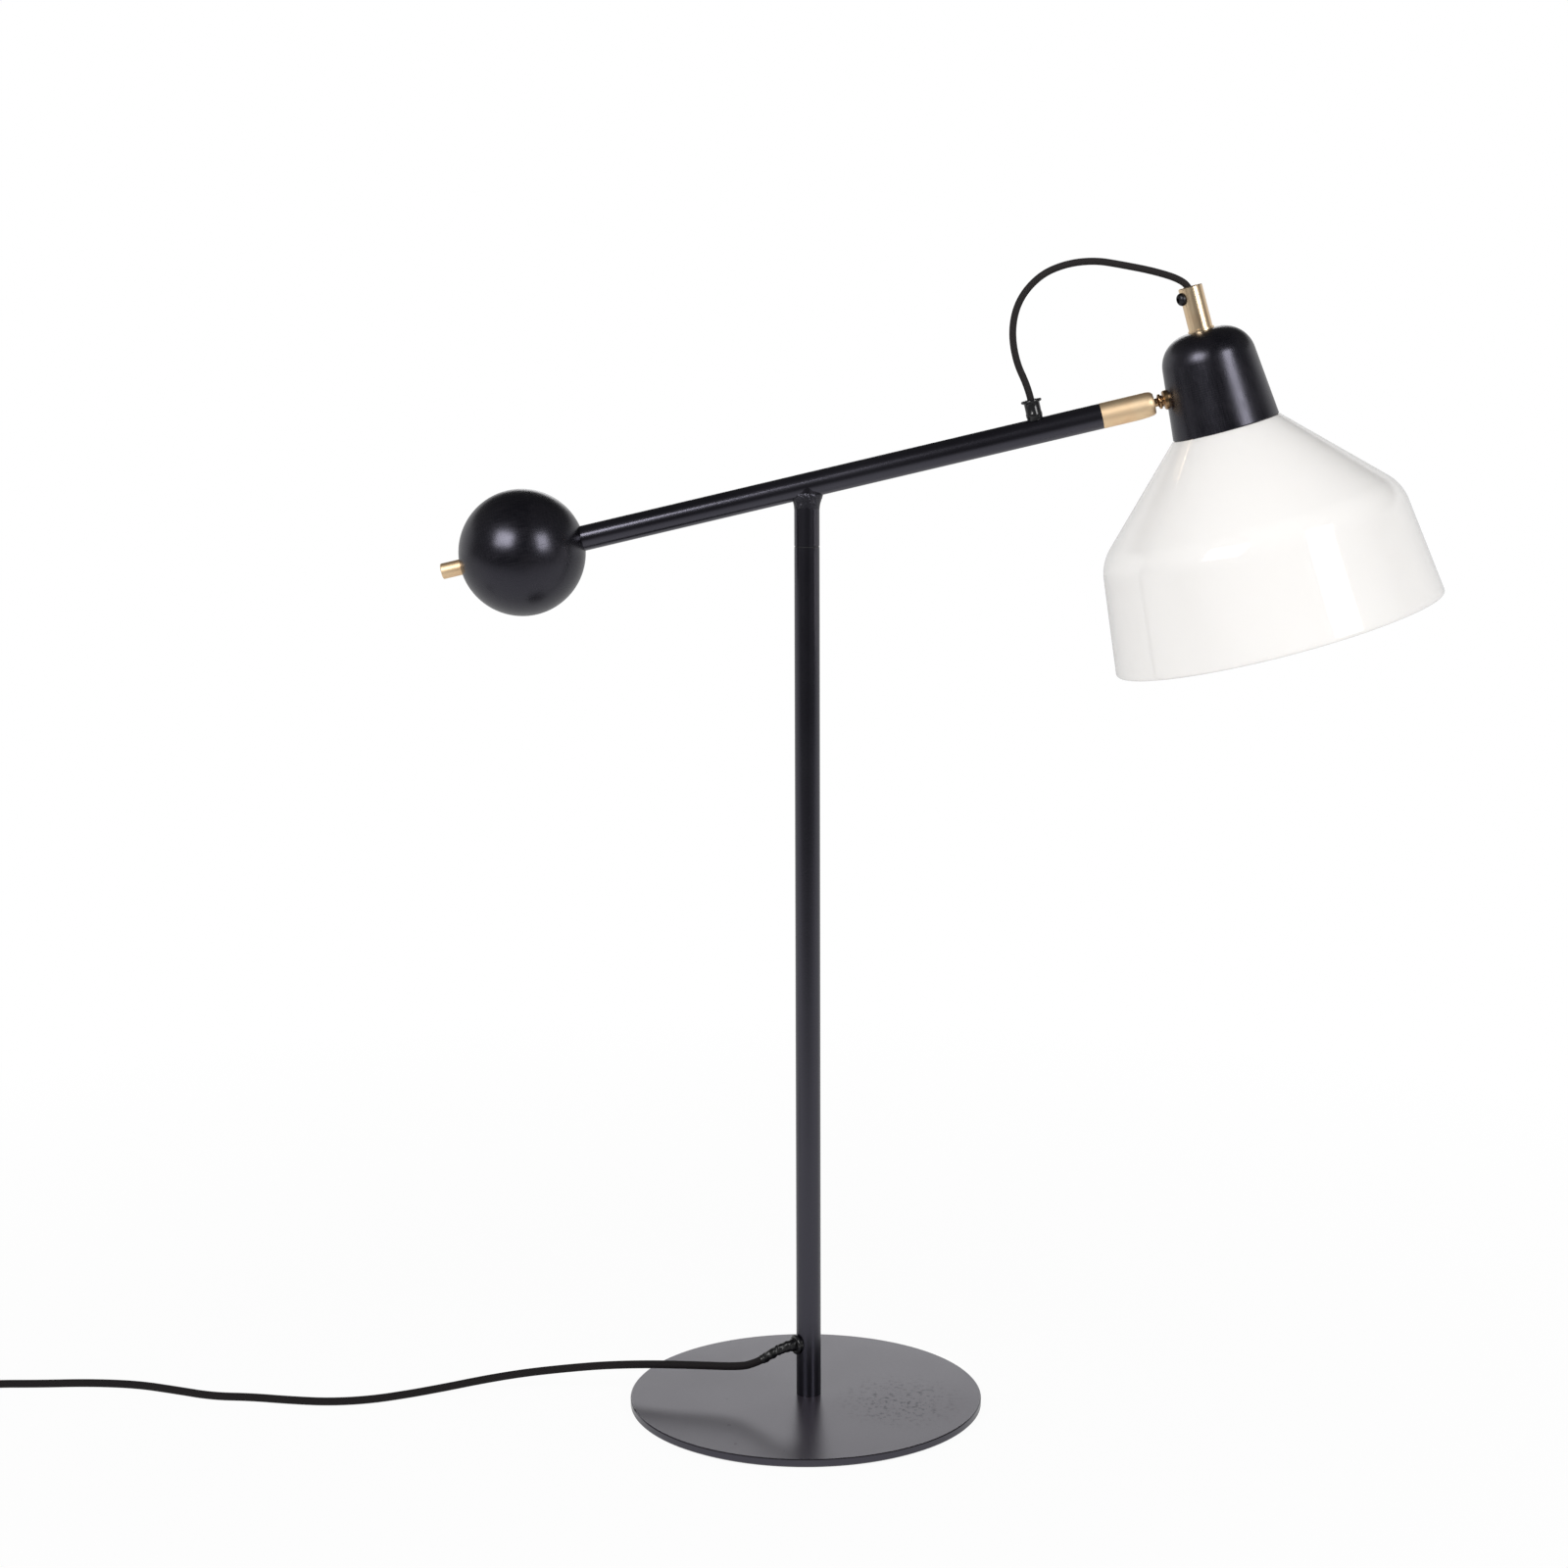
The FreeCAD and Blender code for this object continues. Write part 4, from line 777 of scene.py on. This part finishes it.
def shrunkSleeve():
    # heat-shrunk tube: narrows along its length, with soft folds that twist round it
    line = splineLine(np.array(sleeve["route"]) * mm, 26)

    def reach(run, angle):
        # radius = taper + folds and creases, which die out at both ends
        t = run / run[-1]
        taper = sleeve["start"] + (sleeve["end"] - sleeve["start"]) * np.minimum(t * 1.25, 1.0) ** 0.8
        folds = (np.sin(angle * 2 + t * 9 + 1.7 * np.sin(t * 13)) * np.sin(t * 31 + 2.1 * np.sin(angle))
                 + 0.6 * np.sin(angle * 3 - t * 17 + 0.9) * np.sin(t * 11 + angle))
        creases = np.abs(np.sin(t * 14 + angle + 1.3 * np.sin(2 * angle + t * 6))) ** 6
        ends = np.minimum(1.0, np.minimum(t, 1 - t) * 14)
        return (taper + ends * sleeve["fold"] * (folds - 0.9 * creases)) * mm

    piece = tube("shrunkSleeve", line, reach, 40)
    dress(piece, "sleeve", "stand", "black_plastic", "lead_sleeve")


shrunkSleeve()


# brass housing of the joint, with zero in the ball's centre
housing = {
    "bore": 5.75,
    "spigot": 6.75,
    "radius": 8.0,
    "spigotBack": -39.5,
    "back": -27.5,
    "front": 6.0,
    "mouth": 6.15,
    "lip": 3.1,               # height at which the ball's seat ends
    "seat": 5.55,
    "noseDepth": 1.7,
    "noseRuns": (4.5, 15.0),  # lengths of the nose's rounding above and below
}


def jointHousing():
    # a turned tube with a spherical seat, whose nose is rounded more slowly underneath
    h = housing
    rise = math.radians(tilt["arm"])
    above, below = h["noseRuns"]
    profile = [(h["bore"], h["spigotBack"]), (h["spigot"], h["spigotBack"]),
               (h["spigot"], h["back"]), (h["radius"], h["back"])]
    profile += [(h["radius"], h["front"] - below * (1 - s)) for s in np.linspace(0, 1, 14)]
    profile += [(h["mouth"], h["front"])]
    profile += arc((0.0, 0.0), h["seat"], math.degrees(math.asin(h["lip"] / h["seat"])), 0, 6)
    profile += [(h["bore"], 0.0)]
    radii, heights = np.array(profile).T

    def nose(angle, row):
        # depth = noseDepth (1 - sqrt(1 - w^2)), w from 0 where the rounding starts to 1 at the front
        under = (0.5 + 0.5 * np.cos(angle)) ** 2  # 1 underneath, 0 on top
        run = above + (below - above) * under
        w = np.clip(1 - (h["front"] - heights[row]) / run, 0, 1)
        depth = h["noseDepth"] * (1 - np.sqrt(1 - w * w))
        return np.where(radii[row] > h["radius"] - 0.001, -depth, 0.0)

    way = (math.cos(rise), 0, math.sin(rise))
    piece = turnedPiece("jointHousing", profile, way, jointCentre, 96, nose, closed=True)
    dress(smooth(piece, 40), "brassArm", "arm", "brass", "joint_housing")


jointHousing()

# brass collar turned on the joint's stud: radius and distance from the ball's centre
collar = {
    "profile": [
        (2.3, 7.5), (2.4, 7.95), (2.9, 8.4), (4.1, 8.8), (4.5, 9.0), (4.7, 9.35), (4.7, 10.2),
        (4.45, 10.5), (3.7, 10.65), (3.6, 10.9), (3.6, 11.6)],
    "steps": 72,
}
collarPiece = turnedPiece("studCollar", collar["profile"], headOut, jointCentre, collar["steps"])
dress(smooth(collarPiece, 40), "brass", "head", "brass")

# screw that clamps the cord in the grip tube
clampScrew = {
    "height": 83.6,    # above the cap's foot, along the grip tube
    "azimuth": 204.0,
    "foot": 6.6,       # where the shank starts, from the tube's axis
    "shank": 1.4,
    "seat": 7.5,
    "edge": 0.3,
    "head": 4.0,
    "band": 0.5,
    "rise": 3.3,
    "socket": 1.5,
    "socketDepth": 1.3,
}


def clampScrewPiece():
    # button head with a six-sided socket: radius = half width across flats / cos(angle to the nearest flat)
    c = clampScrew
    turn = math.radians(c["azimuth"])
    way = np.array(headOut) * math.cos(turn) + np.array((0.0, 1.0, 0.0)) * math.sin(turn)
    place = np.array(headPlace) + np.array(headUp) * c["height"]
    under = c["seat"] - c["edge"]
    dome = [(c["head"] * math.cos(a) ** 0.8, c["seat"] + c["band"] + (c["rise"] - c["band"]) * math.sin(a))
            for a in np.radians(np.linspace(0, 66, 12))]
    profile = [(c["shank"], c["foot"]), (c["shank"], under), (c["head"] - c["edge"], under),
               (c["head"], c["seat"])] + dome
    top = dome[-1][1] + 0.06
    sockets = len(profile)
    profile += [(c["socket"], top), (c["socket"], top - 0.15), (c["socket"], top - c["socketDepth"])]

    def bumps(angle, row):
        flat = (angle + math.pi / 6) % (math.pi / 3) - math.pi / 6
        return np.where(row >= sockets, c["socket"] / np.cos(flat) - c["socket"], 0.0)

    piece = smooth(turnedPiece("clampScrew", profile, way, place, 72, bumps), 35)
    dress(piece, "black_steel", "head", "black_steel", "clamp_screw")


clampScrewPiece()
print("weld, glands, sleeve and joint made")


def roundedOutline(halfWide, halfDeep, corner, count=96):
    # rounded rectangle as points spread evenly along its edge, from the middle of the right side
    corner = min(corner, halfWide * 0.999, halfDeep * 0.999)
    turn = np.linspace(0, math.pi / 2, 13)
    points = []
    for k, (sx, sy) in enumerate(((1, 1), (-1, 1), (-1, -1), (1, -1))):
        centre = np.array([sx * (halfWide - corner), sy * (halfDeep - corner)])
        points.append(centre + corner * np.column_stack([np.cos(turn + k * math.pi / 2),
                                                         np.sin(turn + k * math.pi / 2)]))
    edge = np.vstack([[[halfWide, 0.0]], *points, [[halfWide, 0.0]]])
    run = np.concatenate([[0.0], np.cumsum(np.linalg.norm(np.diff(edge, axis=0), axis=1))])
    at = np.linspace(0, run[-1], count, endpoint=False)
    return np.column_stack([np.interp(at, run, edge[:, 0]), np.interp(at, run, edge[:, 1])])


def stackedPiece(name, rows, centre, axes, closed=False):
    # rows of (height, half width, half depth, corner) stacked along the third axis
    wide, deep, up = [np.array(a, float) for a in axes]
    grid = []
    for height, halfWide, halfDeep, corner in rows:
        outline = roundedOutline(halfWide, halfDeep, corner)
        grid.append(outline[:, :1] * wide + outline[:, 1:] * deep + height * up)
    grid = (np.array(grid) + np.array(centre)) * mm
    return smooth(meshFromGrid(name, grid, closed), 38)


# in-line switch on the lead; its rocker is the solid itself
inlineSwitch = {
    "centre": (-631.0, 9.0, 0.0),
    "half": (31.0, 13.5),
    "corner": 8.5,
    "seam": 9.0,
    "top": 18.0,
    "mouth": (9.8, 5.3),
    "pad": 0.9,
}


def switchShells():
    # tray and cover as stacked rounded rectangles, each edge a few rows of height and inset
    s = inlineSwitch
    halfX, halfY = s["half"]
    axes = ((1, 0, 0), (0, 1, 0), (0, 0, 1))
    seam, top, corner = s["seam"], s["top"], s["corner"]

    def inset(height, by):
        return height, halfX - by, halfY - by, max(corner - by, 0.5)

    lower = [inset(seam - 0.05, 1.2), inset(seam - 0.05, 0.45), inset(seam - 0.4, 0.1),
             inset(seam - 0.8, 0.0), inset(2.4, 0.0), inset(1.3, 0.25), inset(0.5, 0.85), inset(0.1, 1.7),
             inset(0.0, 2.4), inset(0.0, 3.2), inset(0.2, 3.5), inset(s["pad"], 3.7)]
    piece = stackedPiece("switchTray", lower[::-1], s["centre"], axes)
    dress(piece, "matte_black_plastic", "stand", "matte_black_plastic", "switch_lower_shell")
    mouthX, mouthY = s["mouth"]
    upper = [(seam + 0.05, halfX - 3, halfY - 3, 5), inset(seam + 0.05, 0.45), inset(seam + 0.4, 0.1),
             inset(seam + 0.8, 0.0), inset(top - 4.5, 0.15), inset(top - 2.6, 0.6),
             inset(top - 1.3, 1.5), inset(top - 0.5, 2.9), inset(top - 0.1, 4.6), inset(top, 6.0)]
    # the lip round the rocker: height, how far out from the mouth on both axes, corner
    rim = [(top, 3.0, 2.4, 3.0), (top - 0.35, 2.6, 2.0, 2.8), (top - 0.35, 2.2, 1.6, 2.6),
           (top + 0.45, 1.8, 1.2, 2.2), (top + 0.6, 1.4, 0.9, 1.9), (top + 0.5, 0.3, 0.3, 1.0),
           (top + 0.2, 0.0, 0.0, 0.7), (seam + 1.2, 0.0, 0.0, 0.7), (seam + 1.2, 4.0, 3.0, 2.0)]
    upper += [(height, mouthX + x, mouthY + y, ease) for height, x, y, ease in rim]
    piece = stackedPiece("switchCover", upper, s["centre"], axes, closed=True)
    dress(piece, "matte_black_plastic", "stand", "matte_black_plastic", "switch_upper_shell")


# plug; its pins are the solids themselves
plug = {
    "centre": (-677.8, -108.0, 7.0),
    "sections": [  # distance from the neck, half width, half height, corner
        (0.0, 5.4, 4.4, 4.2), (0.4, 6.1, 5.1, 4.7), (1.4, 6.5, 5.5, 5.0), (6.0, 6.8, 5.8, 5.2),
        (9.0, 8.4, 6.3, 5.6), (13.0, 12.6, 6.8, 6.0), (17.0, 15.8, 7.0, 6.0), (20.0, 17.0, 7.0, 5.8)],
    "ridges": (21.0, 31.0, 5),  # first, last, how many
    "ridgeDepth": 0.9,
    "half": (18.0, 7.0),
    "face": 36.0,
}


def plugBody():
    # half width = half - ridgeDepth (1 - wave), wave = 0.5 - 0.5 cos(2 pi count t) along the grip
    halfX, halfZ = plug["half"]
    rows = [(-d, w, h, c) for d, w, h, c in plug["sections"]]
    first, last, count = plug["ridges"]
    for t in np.linspace(0, 1, count * 8 + 1):
        wave = 0.5 - 0.5 * math.cos(2 * math.pi * count * t)
        narrower = plug["ridgeDepth"] * (1 - wave)
        rows.append((-(first + (last - first) * t), halfX - narrower, halfZ, 5.6))
    for back, inset, corner in ((2.2, 0.0, 5.4), (0.7, 0.35, 5.1), (0.0, 1.2, 4.4)):
        rows.append((back - plug["face"], halfX - inset, halfZ - inset, corner))
    piece = stackedPiece("plugBody", rows, plug["centre"], ((-1, 0, 0), (0, 0, 1), (0, 1, 0)))
    dress(piece, "matte_black_plastic", "stand", "matte_black_plastic", "plug_body")


# ribbed boots: where each meets its housing, 1 on along the lead or -1 back, length, first radius
boots = {
    "switchBootNear": ((-600.0, 9.0, 7.0), -1, 21.0, 5.0),
    "switchBootFar": ((-662.0, 9.0, 7.0), 1, 21.0, 5.0),
    "plugBoot": ((-677.8, -108.0, 7.0), -1, 24.0, 5.3),
}
rib = {"pitch": 3.4, "depth": 0.55, "step": 0.4, "inside": 1.2, "over": 0.75}


def boot(name, at, way, reach, thick):
    # tapers along the lead: radius = straight taper - ribs that fade with it, rounded at the thin end
    gap = np.linalg.norm(leadLine / mm - np.array(at), axis=1)
    middle = int(gap.argmin())
    _, run = along(leadLine)
    spots = run[middle] + way * np.arange(-rib["inside"], reach, rib["step"]) * mm
    spots = np.clip(spots, 0, run[-1])
    line = np.column_stack([np.interp(spots, run, leadLine[:, k]) for k in range(3)])
    line = line[np.concatenate([[True], np.linalg.norm(np.diff(line, axis=0), axis=1) > 1e-5])]

    def size(length, angle):
        t = length / length[-1]
        wave = 0.5 - 0.5 * np.cos(2 * math.pi * np.minimum(t * 1.12, 1.0) * reach / rib["pitch"])
        end = np.clip((1 - t) * 8, 0, 1) ** 0.5
        body = thick * (1 - t) + (lead["radius"] / mm + rib["over"]) * t
        return (body - rib["depth"] * wave * (1 - 0.5 * t) - 0.5 * (1 - end)) * mm + 0 * angle

    dress(tube(name, line, size, 36), "matte_black_plastic", "stand", "matte_black_plastic")


switchShells()
plugBody()
for bootName, bootValues in boots.items():
    boot(bootName, *bootValues)
print("switch and plug made")


# light and background; a level of 1 is white
studio = {
    "room": 0.055,       # the dim room round the camera and overhead
    "sides": 0.11,       # the paler walls left and right
    "backdrop": 0.60,    # lit paper behind, near the horizon
    "glow": 3.3,         # how much brighter its middle is, a little above the table
    "fill": 0.34,        # soft light that only matt surfaces gather
    "table": 0.48,       # the same from the lit paper below
    "lamps": [  # azimuth from the camera's side, elevation, distance, width, height, watts
        (-34.0, 26.5, 2.3, 1.15, 0.90, 34.0),
        (41.5, 23.0, 2.3, 0.75, 1.10, 23.0),
    ],
    "aim": (0.05, 0.0, 0.55),
    "paperNear": 0.60,   # the floor's own grey, and that of its far front
    "paperFront": 0.10,
    "mirrored": 0.40,    # how bright gloss sees the floor
    "shadow": 0.955,     # how far plain white covers the shadow on the floor near the lamp
    "floorSize": 6.0,
}


rayKinds = ("Is Camera Ray", "Is Glossy Ray", "Is Transmission Ray", "Is Diffuse Ray")


def addLamps():
    for azimuth, elevation, distance, width, height, watts in studio["lamps"]:
        a, e = math.radians(azimuth), math.radians(elevation)
        way = Vector((math.sin(a) * math.cos(e), -math.cos(a) * math.cos(e), math.sin(e)))
        data = bpy.data.lights.new("softbox", "AREA")
        data.shape = "RECTANGLE"
        data.size, data.size_y = width, height
        data.energy = watts
        lamp = bpy.data.objects.new("softbox", data)
        lamp.matrix_world = (Matrix.Translation(Vector(studio["aim"]) + way * distance)
                             @ way.to_track_quat("Z", "Y").to_matrix().to_4x4())
        scene.collection.objects.link(lamp)


def addWorld():
    # white to the camera; a dim room with lit paper behind for gloss and soft light
    world = bpy.data.worlds.new("studio")
    scene.world = world
    world.use_nodes = True
    tree = world.node_tree
    tree.nodes.clear()
    rays = tree.nodes.new("ShaderNodeLightPath")
    camera, glossy, through, scattered = [Value(tree, rays.outputs[n]) for n in rayKinds]
    coordinate = tree.nodes.new("ShaderNodeTexCoord")
    split = tree.nodes.new("ShaderNodeSeparateXYZ")
    tree.links.new(coordinate.outputs["Generated"], split.inputs[0])
    across, depth, rise = [Value(tree, split.outputs[n]) for n in "XYZ"]
    paper = depth.ramp(0.0, 0.45) * (1 - rise.ramp(0.30, 0.41))
    glow = 1 + rise.ramp(0.08, 0.24) * (1 - abs(across).ramp(0.08, 0.26)) * studio["glow"]
    level = studio["room"] + abs(across).ramp(0.45, 0.9) * studio["sides"]
    level = level + paper * studio["backdrop"] * glow + scattered * studio["fill"]
    seen = (camera + through + glossy * paper * studio["backdrop"]).clamp()
    level = seen.math("MAXIMUM", seen, level * (1 - (camera + through).clamp()))
    back = tree.nodes.new("ShaderNodeBackground")
    back.inputs["Color"].default_value = (1, 1, 1, 1)
    tree.links.new(level.socket, back.inputs["Strength"])
    out = tree.nodes.new("ShaderNodeOutputWorld")
    tree.links.new(back.outputs[0], out.inputs[0])


def addFloor():
    # pale paper that keeps a faint shadow near the lamp and turns white further out
    size = studio["floorSize"]
    near, far = (studio["paperNear"],) * 3, (studio["paperFront"],) * 3
    corners = [(-size, -size, 0), (size, -size, 0), (size, size, 0), (-size, size, 0)]
    mesh = bpy.data.meshes.new("floor")
    mesh.from_pydata(corners, [], [(0, 1, 2, 3)])
    floor = bpy.data.objects.new("floor", mesh)
    scene.collection.objects.link(floor)
    paper = Finish("floorPaper", near, 0.9)
    x, y, _ = paper.parts(paper.spot((-0.1, 0.0, 0.0)))
    away = ((x * x + y * y) ** 0.5).ramp(0.35, 1.1)
    front = (y * -1.0).ramp(0.35, 1.5)  # the paper ends before the camera
    paper.feed("Base Color", paper.blend(front, near, far))
    paper.material.cycles.emission_sampling = "NONE"
    tree = paper.tree
    rays = tree.nodes.new("ShaderNodeLightPath")
    camera, glossy, through, scattered = [Value(tree, rays.outputs[n]) for n in rayKinds]
    white = tree.nodes.new("ShaderNodeEmission")
    mix = tree.nodes.new("ShaderNodeMixShader")
    seen = (camera + through).clamp() + glossy * (1 - front) * studio["mirrored"]
    factor = seen * (studio["shadow"] + away * (1 - studio["shadow"])) + scattered * studio["table"]
    tree.links.new(factor.socket, mix.inputs[0])
    tree.links.new(paper.shader.outputs[0], mix.inputs[1])
    tree.links.new(white.outputs[0], mix.inputs[2])
    tree.links.new(mix.outputs[0], tree.nodes["Material Output"].inputs[0])
    mesh.materials.append(paper.material)


addLamps()
addWorld()
addFloor()
print("studio lit")
